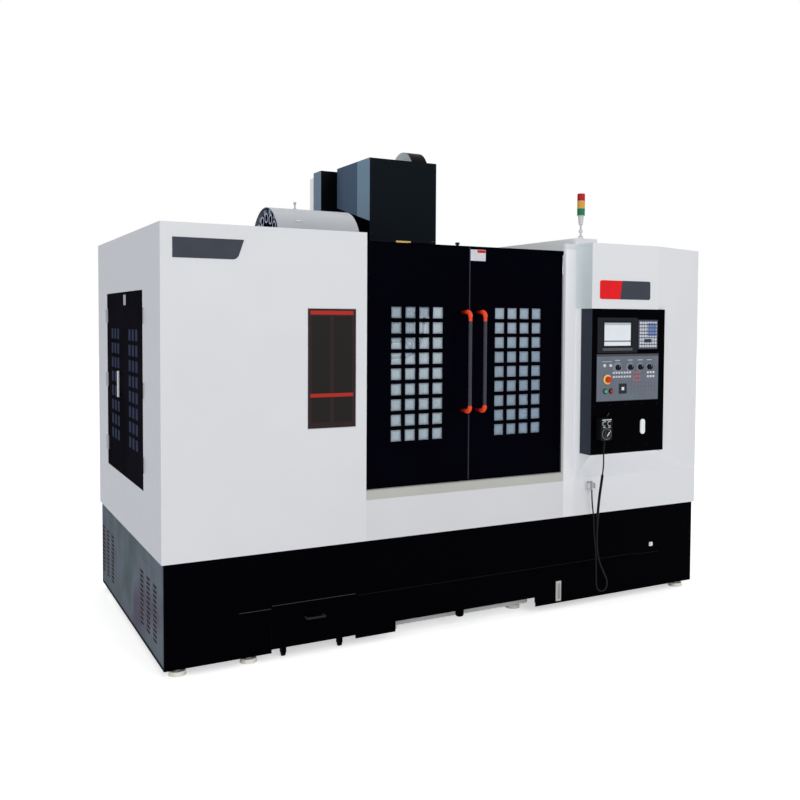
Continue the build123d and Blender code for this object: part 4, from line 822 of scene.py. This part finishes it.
def door_trim():
    """Seam seals and the knobs on the door rail."""
    dark_edging = plastic("seam_seal", (44, 46, 54), rough=(0.4, 0.5))
    for body, x0, x1 in (("left_door", -4.2, -0.4), ("right_door", 0.4, 4.2)):
        piece = Detail().box((x0, 28.6, 899), (x1, 34, 2312), 0.6)
        piece.place("seam_seal_" + body.split("_")[0], dark_edging, body)
    knobs = Detail()
    for x in (-242, -76):
        knobs.turned("z", (x, 52), [(8, 2321), (8, 2327), (13, 2328), (14, 2338), (11, 2341)], 20)
    knobs.place("rail_knobs", dark_rubber)


HOUSING_FACE = -165.05
FOIL_FACE = -170.05
PENDANT_FACE = -213.05
PENDANT_DIAL = (875.5, 1160)
DIAL_Z = 1577
DIALS = (
    ("knob_mode", 992, 36),
    ("knob_feed", 1096, 33),
    ("knob_rapid", 1180, 29),
    ("knob_spindle", 1257, 27),
)


def dial_trim():
    """Rings and marks round the four dials, and a mark on each knob."""
    face = FOIL_FACE
    scale, marks = Detail(), Detail()
    for _, x, r in DIALS:
        scale.turned("y", (x, DIAL_Z), [(18.2, face), (18.2, face - 0.8), (r, face - 0.8),
                                        (r, face)], 40, caps=False)
        for i in range(11):
            a = math.radians(-40 + 26 * i)
            cx, cz = x + (r - 4) * math.cos(a), DIAL_Z + (r - 4) * math.sin(a)
            marks.box((cx - 1, face - 1.4, cz - 1), (cx + 1, face - 0.7, cz + 1), 0.2)
        marks.box((x - 20, face - 0.7, 1621), (x + 20, face, 1625), 0.2)
    for x in (880, 905, 930):
        marks.box((x - 14, face - 0.7, 1614), (x + 14, face, 1617), 0.2)
    scale.place("dial_rings", plastic("dial_ring_grey", (128, 135, 148)))
    marks.place("dial_marks", key_white)
    for body, x, _ in DIALS:
        mark = Detail().box((x - 1, -193.6, 1580), (x + 1, -193.0, 1590), 0.2)
        mark.place(body + "_mark", key_white, body)


def console_trim():
    """Axis pad, guard rings, key tags, frame lines and screws of the console."""
    face = FOIL_FACE
    pad = Detail().plate(rounded(1004, 1070, 1407, 1473, 4), face - 1.2, face, 0.4)
    pad.place("axis_pad", plastic("pad_dark", (56, 60, 70)))
    arrows = Detail()
    for i in range(3):
        for j in range(3):
            x, z = 1015 + 22 * i, 1418 + 22 * j
            if (i, j) != (1, 1):
                arrows.plate(rounded(x - 8, x + 8, z - 8, z + 8, 3), face - 2.6, face - 1.0, 0.5)
    arrows.place("axis_keys", plastic("axis_key_dark", (34, 36, 42)))
    centre = Detail().plate(rounded(1027, 1047, 1430, 1450, 3), face - 3.2, face - 1.0, 0.6)
    centre.place("axis_centre_key", plastic("axis_white", (226, 228, 230)))

    rings = Detail()
    for x in (893, 940):
        rings.turned("y", (x, 1427), [(12.6, face), (12.6, face - 3.6), (15, face - 4.2),
                                      (17.5, face - 2.4), (17.5, face)], 32, caps=False)
    rings.place("button_rings", dark_rubber)
    crescent = Detail()
    crescent.turned("y", (907, 1502), [(20.6, -175.9), (20.6, -176.6), (29.5, -176.6),
                                       (30.8, -175.9)], 40, caps=False)
    crescent.place("stop_collar_face", plastic("collar_yellow", (242, 208, 132)))

    tags = Detail()
    for x in grid_row(1205, 24, 8):
        for z in (1477, 1449, 1421):
            tags.box((x - 6, face - 0.6, z - 1), (x + 6, face, z + 1), 0.2)
    for x in (1018, 1040, 1062, 1084):
        tags.box((x - 7, face - 0.6, 1500), (x + 7, face, 1502), 0.2)
    tags.place("key_tags", plastic("tag_rose", (140, 104, 116)))

    border = Detail()
    for low, high in (((822, 1361), (1339, 1364)), ((822, 1661), (1339, 1664)),
                      ((822, 1364), (825, 1661)), ((1336, 1364), (1339, 1661))):
        border.box((low[0], -169.5, low[1]), (high[0], HOUSING_FACE, high[1]), 0.6)
    border.place("control_frame", steel_dark)
    screws = Detail()
    for x in grid_row(1070, 130, 5):
        screws.turned("y", (x, 1336), [(3.6, HOUSING_FACE), (3.6, -166.4), (2.2, -167)], 16)
        screws.turned("y", (x, 1670), [(3.0, HOUSING_FACE), (3.0, -166.2), (2, -166.8)], 16)
    screws.place("console_screws", dark_rubber)


def pendant_trim():
    """Raised outlines of the pendant, its dial ring, lever, hook and strain relief."""
    face = PENDANT_FACE
    lines = Detail()
    for x in (855.5, 895.5):
        lines.turned("y", (x, 1226), [(11.4, face), (11.4, face - 1.2), (16, face - 1.2),
                                      (16, face)], 28, caps=False)
    for x0, x1, z0 in ((838, 913, 1246), (846, 864, 1200), (887, 905, 1200)):
        lines.plate(rounded(x0, x1, z0, z0 + 6, 2), face - 0.9, face, 0.3)
    lines.place("pendant_marks", plastic("pendant_line", (206, 210, 213)))
    x, z = PENDANT_DIAL
    ring = Detail().turned("y", PENDANT_DIAL, [(30.6, face), (30.6, face - 1.6), (34, face - 2.4),
                                               (38, face - 1.6), (38.6, face)], 44, caps=False)
    ring.place("pendant_dial_ring", plastic("pendant_ring", (96, 104, 110)))
    ticks = Detail()
    for i in range(20):
        a = 2 * math.pi * i / 20
        cx, cz = x + 25.5 * math.cos(a), z + 25.5 * math.sin(a)
        ticks.box((cx - 0.9, -226.9, cz - 0.9), (cx + 0.9, -226.2, cz + 0.9), 0.2)
    ticks.place("dial_ticks", key_white, "pendant_dial")
    lever = Detail().tube([(868, -225, 1146), (878, -229, 1162), (891, -230, 1181)], 3.6, 12,
                          [3.0, 3.8, 3.2])
    lever.place("pendant_lever", plastic("lever_white", (214, 217, 219)), "pendant_dial")
    hook = Detail().tube(curve([(907, -172, 1262), (908, -180, 1274), (914, -182, 1284),
                                (922, -176, 1290), (923, -168, 1286)]), 3.0, 10)
    hook.place("pendant_hook", steel_dark)
    relief = []
    for i in range(9):
        r = 9.0 - 0.42 * i
        z = 1119 - 4.6 * i
        relief += [(r, z), (r, z - 2.6), (r - 1.6, z - 3.0), (r - 1.6, z - 4.2)]
    Detail().turned("z", (874.5, -190), relief, 20).place("pendant_strain_relief", dark_rubber)


SLEEVE_LOW = 0.425
SLEEVE_HIGH = 0.9


def lead_sleeve():
    """Thick sleeve on the hanging lead, which thins out towards its lower end."""
    lowest = min(range(len(LEAD_LINE)), key=lambda i: LEAD_LINE[i].z)
    part = [p for p in LEAD_LINE[:lowest] if SLEEVE_LOW < p.z < SLEEVE_HIGH]
    radii = []
    for p in part:
        share = min(1.0, max(0.0, (p.z - SLEEVE_LOW) / 0.2))
        radii.append((5.2 + 3.3 * share) * (0.8 if p is part[0] else 1.0))
    sleeve = Detail()
    sleeve.tube([(p.x * 1000, (p.y - FRONT_Y) * 1000, p.z * 1000) for p in part], 8, 14, radii)
    return sleeve.place("pendant_lead_sleeve", plastic("sleeve_black", (9, 9, 11)))


def chamber_top():
    """Side sheet of the work chamber under the cable duct, cut round the door rail."""
    outline = [(24, 2323), (79, 2323), (79, 2180), (1858, 2180), (1858, 2364.7), (24, 2364.7)]
    sheet = Detail().add([[(x, y, z) for y, z in outline] for x in (782, 784)])
    # The sheet takes the lighter white as painted light against its shade.
    sheet.place("chamber_top_sheet", shade_lift_paint, slot="white_paint", smooth=False)


LOUVRE_X = 1838.0
LOUVRE_COLUMNS = ((215, 383, 550), (1470, 1642, 1815))
LOUVRE_ROWS = 12
LOUVRE_PITCH = 26.6
LOUVRE_LOW = 142.0
LOUVRE_HALF = 40.0


def louvre_trim():
    """Louvre sheets on the side skirts: rows of dark strips that are painted shade of the slots,
    each under a small lip.
    """
    sheets, slot_shade, lips = Detail(), Detail(), Detail()

    def strip(piece, side, out, y0, y1, z0, z1):
        x0, x1 = sorted((side * (LOUVRE_X + out[0]), side * (LOUVRE_X + out[1])))
        piece.box((x0, y0, z0), (x1, y1, z1), 0.2)

    for side in (1, -1):
        for columns in LOUVRE_COLUMNS:
            strip(sheets, side, (0, 0.8), columns[0] - 88, columns[-1] + 56, 84, 522)
            for y in columns:
                for row in range(LOUVRE_ROWS):
                    z = LOUVRE_LOW + row * LOUVRE_PITCH
                    low, high = y - LOUVRE_HALF, y + LOUVRE_HALF
                    strip(slot_shade, side, (0.8, 1.1), low, high, z, z + 12)
                    strip(lips, side, (0.8, 2.8), low, high, z + 12, z + 16)
    sheets.place("louvre_sheets", skirt_sheen_paint, slot="base_black")
    # Painted shade: the dark strips stand for the shade inside the slots.
    slot_shade.place("louvre_slots", plastic("louvre_slot", (20, 21, 26), rough=(0.7, 0.8),
                                        specular=0.0), slot="base_black")
    lips.place("louvre_lips", paint("louvre_lip", (104, 99, 104), specular=0.0), slot="base_black")


def base_trim():
    """Joint beads, latch and gauge face of the front skirt."""
    bead = paint("joint_bead", (62, 62, 65), specular=0.03)
    dark = paint("joint_dark", (20, 20, 23), specular=0.03)
    for name, finish, spans in (
        ("joint_beads_left", bead, ((-1439, -1262, 290), (-1256, -759, 304.5))),
        ("joint_beads_right", dark, ((-740, 1323, 293), (1326, 1534, 284))),
    ):
        piece = Detail()
        for x0, x1, z in spans:
            piece.box((x0, 10.4, z), (x1, 12.0, z + 3), 0.4)
        piece.place(name, finish)
    latch = Detail().plate(rounded(1447, 1479, 328, 356, 6), 8.6, 12.0, 0.8)
    latch.turned("y", (1458, 342), [(7, 9), (7, 5.5), (5.5, 4.6)], 20)
    latch.place("skirt_latch", metal("latch_zinc", (196, 196, 190)))
    face = Detail().plate(rounded(671, 689, 72, 176, 8), 3.2, 4.0, 0.2)
    face.place("gauge_window", plastic("gauge_dull", (150, 152, 146), rough=(0.1, 0.2)))
    ticks = Detail()
    for i in range(11):
        z = 78 + 9.2 * i
        ticks.box((664.5, 3.5, z - 0.6), (669.5 if i % 5 else 670.5, 4.0, z + 0.6), 0.15)
    ticks.place("gauge_ticks", dark_rubber)


def side_door_trim():
    """Bare label of the side door."""
    label = Detail().box((-1851.0, 908, 1950), (-1850.0, 980, 2012), 0.3)
    label.place("side_door_label", plastic("label_dull", (150, 152, 158)), "side_door_a")


PIPE_ROUTES = (
    [(-222, 94, 2318), (-222, 94, 2290), (-222, 112, 2200), (-228, 150, 2060),
     (-234, 160, 1960), (-250, 160, 1820), (-268, 160, 1730), (-308, 160, 1672),
     (-366, 160, 1653), (-462, 160, 1647), (-528, 164, 1640)],
    [(-330, 94, 2318), (-330, 94, 2290), (-322, 116, 2160), (-296, 150, 2030),
     (-288, 160, 1954), (-322, 160, 1872), (-360, 160, 1830), (-424, 160, 1850),
     (-470, 168, 1900)],
    [(-276, 94, 2318), (-276, 94, 2290), (-290, 120, 2140), (-352, 150, 2010),
     (-372, 160, 1950), (-330, 165, 1780), (-328, 165, 1704), (-396, 168, 1765),
     (-463, 168, 1740)],
)
PIPE_RADIUS = 9.0
NOZZLE_RADIUS = 12.0


def wash_pipes():
    """Three wash-down pipes and a valve, held by a bracket on the door rail."""
    blue = plastic("pipe_blue", (34, 40, 116), rough=(0.3, 0.4))
    bracket = Detail().box((-352, 75.0, 2299), (-205, 79.0, 2313), 0.5)
    bracket.box((-352, 79.0, 2299), (-205, 104.0, 2302), 0.5)
    bracket.place("pipe_bracket", steel_small)
    pipes = Detail()
    for route in PIPE_ROUTES:
        line = curve(route, 6)
        pipes.tube(line, PIPE_RADIUS)
        end = 2 * Vector(line[-1]) - Vector(line[-2])
        pipes.tube([line[-1], tuple(end)], NOZZLE_RADIUS)
    pipes.place("wash_pipes", blue)
    valve = Detail().turned("z", (-233, 158), [(30, 1892), (38, 1896), (38, 1978), (30, 1984),
                                               (16, 1986), (16, 2004), (9, 2008)], 32)
    valve.place("wash_valve", plastic("valve_blue", (40, 56, 104), rough=(0.3, 0.4)))


WORK_LAMP_STRENGTH = 30.0


def work_lamp():
    """Flat work lamp inside the chamber, carried by the door rail."""
    body = Detail().box((420, 75.0, 2299), (560, 79.0, 2313), 0.5)
    body.box((330, 79.0, 2266), (650, 139.0, 2312), 2.0)
    body.place("work_lamp", plastic("lamp_case", (120, 124, 128)))
    glow = Shader("lamp_glow", roughness=0.3)
    white_light = glow.mottled(srgb(236, 244, 255), 0.02)
    glow.colour(white_light)
    glow.link(white_light, glow.shader.inputs["Emission Color"])
    glow.shader.inputs["Emission Strength"].default_value = WORK_LAMP_STRENGTH
    Detail().box((338, 85.0, 2263), (642, 133.0, 2266), 0.8).place("work_lamp_lens", glow.material)


SIGNAL_LAMP = (838, 30)


def lamp_trim():
    """Rings between the lenses of the signal lamp, and its stem collar."""
    rings = Detail()
    for i in range(3):
        z = LENS_LOW + i * LENS_PITCH
        rings.turned("z", SIGNAL_LAMP, [(22.4, z - 3.0), (25.6, z - 2.6), (25.6, z - 0.4),
                                        (22.4, z)], 32)
    rings.turned("z", SIGNAL_LAMP, [(14.5, 2424), (15.5, 2421), (15.5, 2419), (14.5, 2418.2)], 28)
    rings.place("lamp_rings", plastic("ring_clear", (196, 198, 200)))


def magazine_trim():
    """Outer ring of the tool disc, with a lug over each pot."""
    ring = Detail().turned("x", MAGAZINE_CENTRE, [(230.6, -1012), (230.6, -1018), (256, -1018),
                                                  (256, -1012)], 64, caps=False)
    ring.place("magazine_ring", plastic("ring_blue", (44, 58, 92)), "magazine")
    lugs = Detail()
    for i in range(TOOL_POTS):
        a = 2 * math.pi * (i + 0.5) / TOOL_POTS
        ends = []
        for x in (-1030, -1018):
            corners = []
            for radius, half in ((222, 13), (222, -13), (255, -17), (255, 17)):
                y = MAGAZINE_CENTRE[0] + radius * math.cos(a) - half * math.sin(a)
                z = MAGAZINE_CENTRE[1] + radius * math.sin(a) + half * math.cos(a)
                corners.append((x, y, z))
            ends.append(corners)
        lugs.add(ends)
    lugs.place("magazine_lugs", plastic("lug_pale", (150, 168, 196)), "magazine", smooth=False)


def cover_trim():
    """Lifting post and the small catch of the magazine cover."""
    post = Detail().turned("z", (-849, 756), [(11, 2561), (11, 2567), (5, 2568), (5, 2592),
                                              (8, 2594), (9, 2600), (8, 2606), (3, 2610)], 20)
    post.place("cover_post", steel_small)
    catch = Detail().box((-919, 549, 2464), (-878, 558, 2472), 1.5)
    catch.place("cover_catch", steel_small)


def head_trim():
    """Bolt heads of the head cover."""
    bolts = Detail()
    for z in (2460, 2700, 2930):
        for x in (-240, 240):
            bolts.turned("y", (x, z), [(6.5, 916.0), (6.5, 914.0), (5.0, 912.6)], 12)
    bolts.place("head_cover_bolts", dark_rubber, "head")


panel_plates()
door_trim()
dial_trim()
console_trim()
pendant_trim()
sleeve = lead_sleeve()
chamber_top()
louvre_trim()
base_trim()
side_door_trim()
wash_pipes()
work_lamp()
lamp_trim()
magazine_trim()
cover_trim()
head_trim()

# Floor, backdrop, lights and camera

FLOOR_HALF = 40.0
FLOOR_GREY = 0.9
FLOOR_GLOW = 0.55
WORLD_STRENGTH = 0.62
PURE_WHITE = (1.0, 1.0, 1.0, 1)
LIGHTS = (
    ("key", (1.5, -9.0, 5.5), (0.2, -0.6, 1.2), 5.0, 205.0),
    ("fill", (-8.0, -6.0, 3.5), (0.0, -1.0, 1.5), 5.0, 120.0),
    ("top", (0.0, 1.0, 9.0), (0.0, 0.0, 1.5), 6.0, 172.0),
)

# Camera solved from the photograph; place in millimetres, turns in radians
CAMERA_PLACE = (-2889.33, -4724.56, 1873.14)
CAMERA_YAW, CAMERA_PITCH, CAMERA_ROLL = 0.5033, -0.0410, 0.0066
PICTURE_SIZE = 800.0
PICTURE_CENTRE = (430.0, 357.55)
FOCAL_PIXELS = 915.21
SENSOR_WIDTH = 36.0


def seen_rays(tree):
    """1 for camera, mirror and glass rays, which see the white backdrop."""
    rays = tree.nodes.new("ShaderNodeLightPath")
    total = rays.outputs["Is Camera Ray"]
    for name in ("Is Glossy Ray", "Is Transmission Ray"):
        node = tree.nodes.new("ShaderNodeMath")
        node.operation = "MAXIMUM"
        tree.links.new(total, node.inputs[0])
        tree.links.new(rays.outputs[name], node.inputs[1])
        total = node.outputs[0]
    return total


def pale_floor():
    """White floor that takes the soft shadows and shows as the backdrop does."""
    floor_mesh = bpy.data.meshes.new("floor")
    corners = [(x * FLOOR_HALF, y * FLOOR_HALF, 0) for x, y in ((-1, -1), (1, -1), (1, 1), (-1, 1))]
    floor_mesh.from_pydata(corners, [], [(0, 1, 2, 3)])
    floor = bpy.data.objects.new("floor", floor_mesh)
    bpy.context.scene.collection.objects.link(floor)
    material = bpy.data.materials.new("floor_pale")
    material.use_nodes = True
    tree = material.node_tree
    diffuse = tree.nodes["Principled BSDF"]
    diffuse.inputs["Base Color"].default_value = (FLOOR_GREY, FLOOR_GREY, FLOOR_GREY, 1)
    diffuse.inputs["Roughness"].default_value = 0.8
    diffuse.inputs["Specular IOR Level"].default_value = 0.1
    diffuse.inputs["Emission Color"].default_value = PURE_WHITE
    glow = tree.nodes.new("ShaderNodeMath")
    glow.operation = "MULTIPLY"
    glow.inputs[1].default_value = FLOOR_GLOW
    tree.links.new(seen_rays(tree), glow.inputs[0])
    tree.links.new(glow.outputs[0], diffuse.inputs["Emission Strength"])
    floor_mesh.materials.append(material)


def studio():
    """White backdrop and three soft lights."""
    world = bpy.data.worlds.new("studio")
    bpy.context.scene.world = world
    world.use_nodes = True
    tree = world.node_tree
    background = tree.nodes["Background"]
    background.inputs["Color"].default_value = PURE_WHITE
    background.inputs["Strength"].default_value = WORLD_STRENGTH
    shown = tree.nodes.new("ShaderNodeBackground")
    shown.inputs["Color"].default_value = PURE_WHITE
    shown.inputs["Strength"].default_value = 1.0
    seen = tree.nodes.new("ShaderNodeMixShader")
    tree.links.new(seen_rays(tree), seen.inputs[0])
    tree.links.new(background.outputs[0], seen.inputs[1])
    tree.links.new(shown.outputs[0], seen.inputs[2])
    tree.links.new(seen.outputs[0], tree.nodes["World Output"].inputs[0])

    for name, place, aim, size, power in LIGHTS:
        data = bpy.data.lights.new(name, "AREA")
        data.size = size
        data.energy = power
        lamp = bpy.data.objects.new(name, data)
        lamp.location = place
        lamp.rotation_euler = (Vector(aim) - Vector(place)).to_track_quat("-Z", "Y").to_euler()
        bpy.context.scene.collection.objects.link(lamp)


def camera():
    """The photograph's view."""
    yaw, pitch, roll = CAMERA_YAW, CAMERA_PITCH, CAMERA_ROLL
    forward = Vector((math.sin(yaw) * math.cos(pitch), math.cos(yaw) * math.cos(pitch),
                      math.sin(pitch)))
    right = Vector((math.cos(yaw), -math.sin(yaw), 0.0))
    up = right.cross(forward)
    tilted_right = right * math.cos(roll) + up * math.sin(roll)
    tilted_up = -right * math.sin(roll) + up * math.cos(roll)
    data = bpy.data.cameras.new("camera")
    data.sensor_width = SENSOR_WIDTH
    data.lens = FOCAL_PIXELS * SENSOR_WIDTH / PICTURE_SIZE
    data.shift_x = 0.5 - PICTURE_CENTRE[0] / PICTURE_SIZE
    data.shift_y = PICTURE_CENTRE[1] / PICTURE_SIZE - 0.5
    data.clip_end = 200.0
    piece = bpy.data.objects.new("camera", data)
    turn = Matrix((tilted_right, tilted_up, -forward)).transposed().to_4x4()
    piece.matrix_world = Matrix.Translation(mm(*CAMERA_PLACE)) @ turn
    bpy.context.scene.collection.objects.link(piece)
    bpy.context.scene.camera = piece


pale_floor()
studio()
camera()
bpy.context.scene.view_settings.view_transform = "Standard"
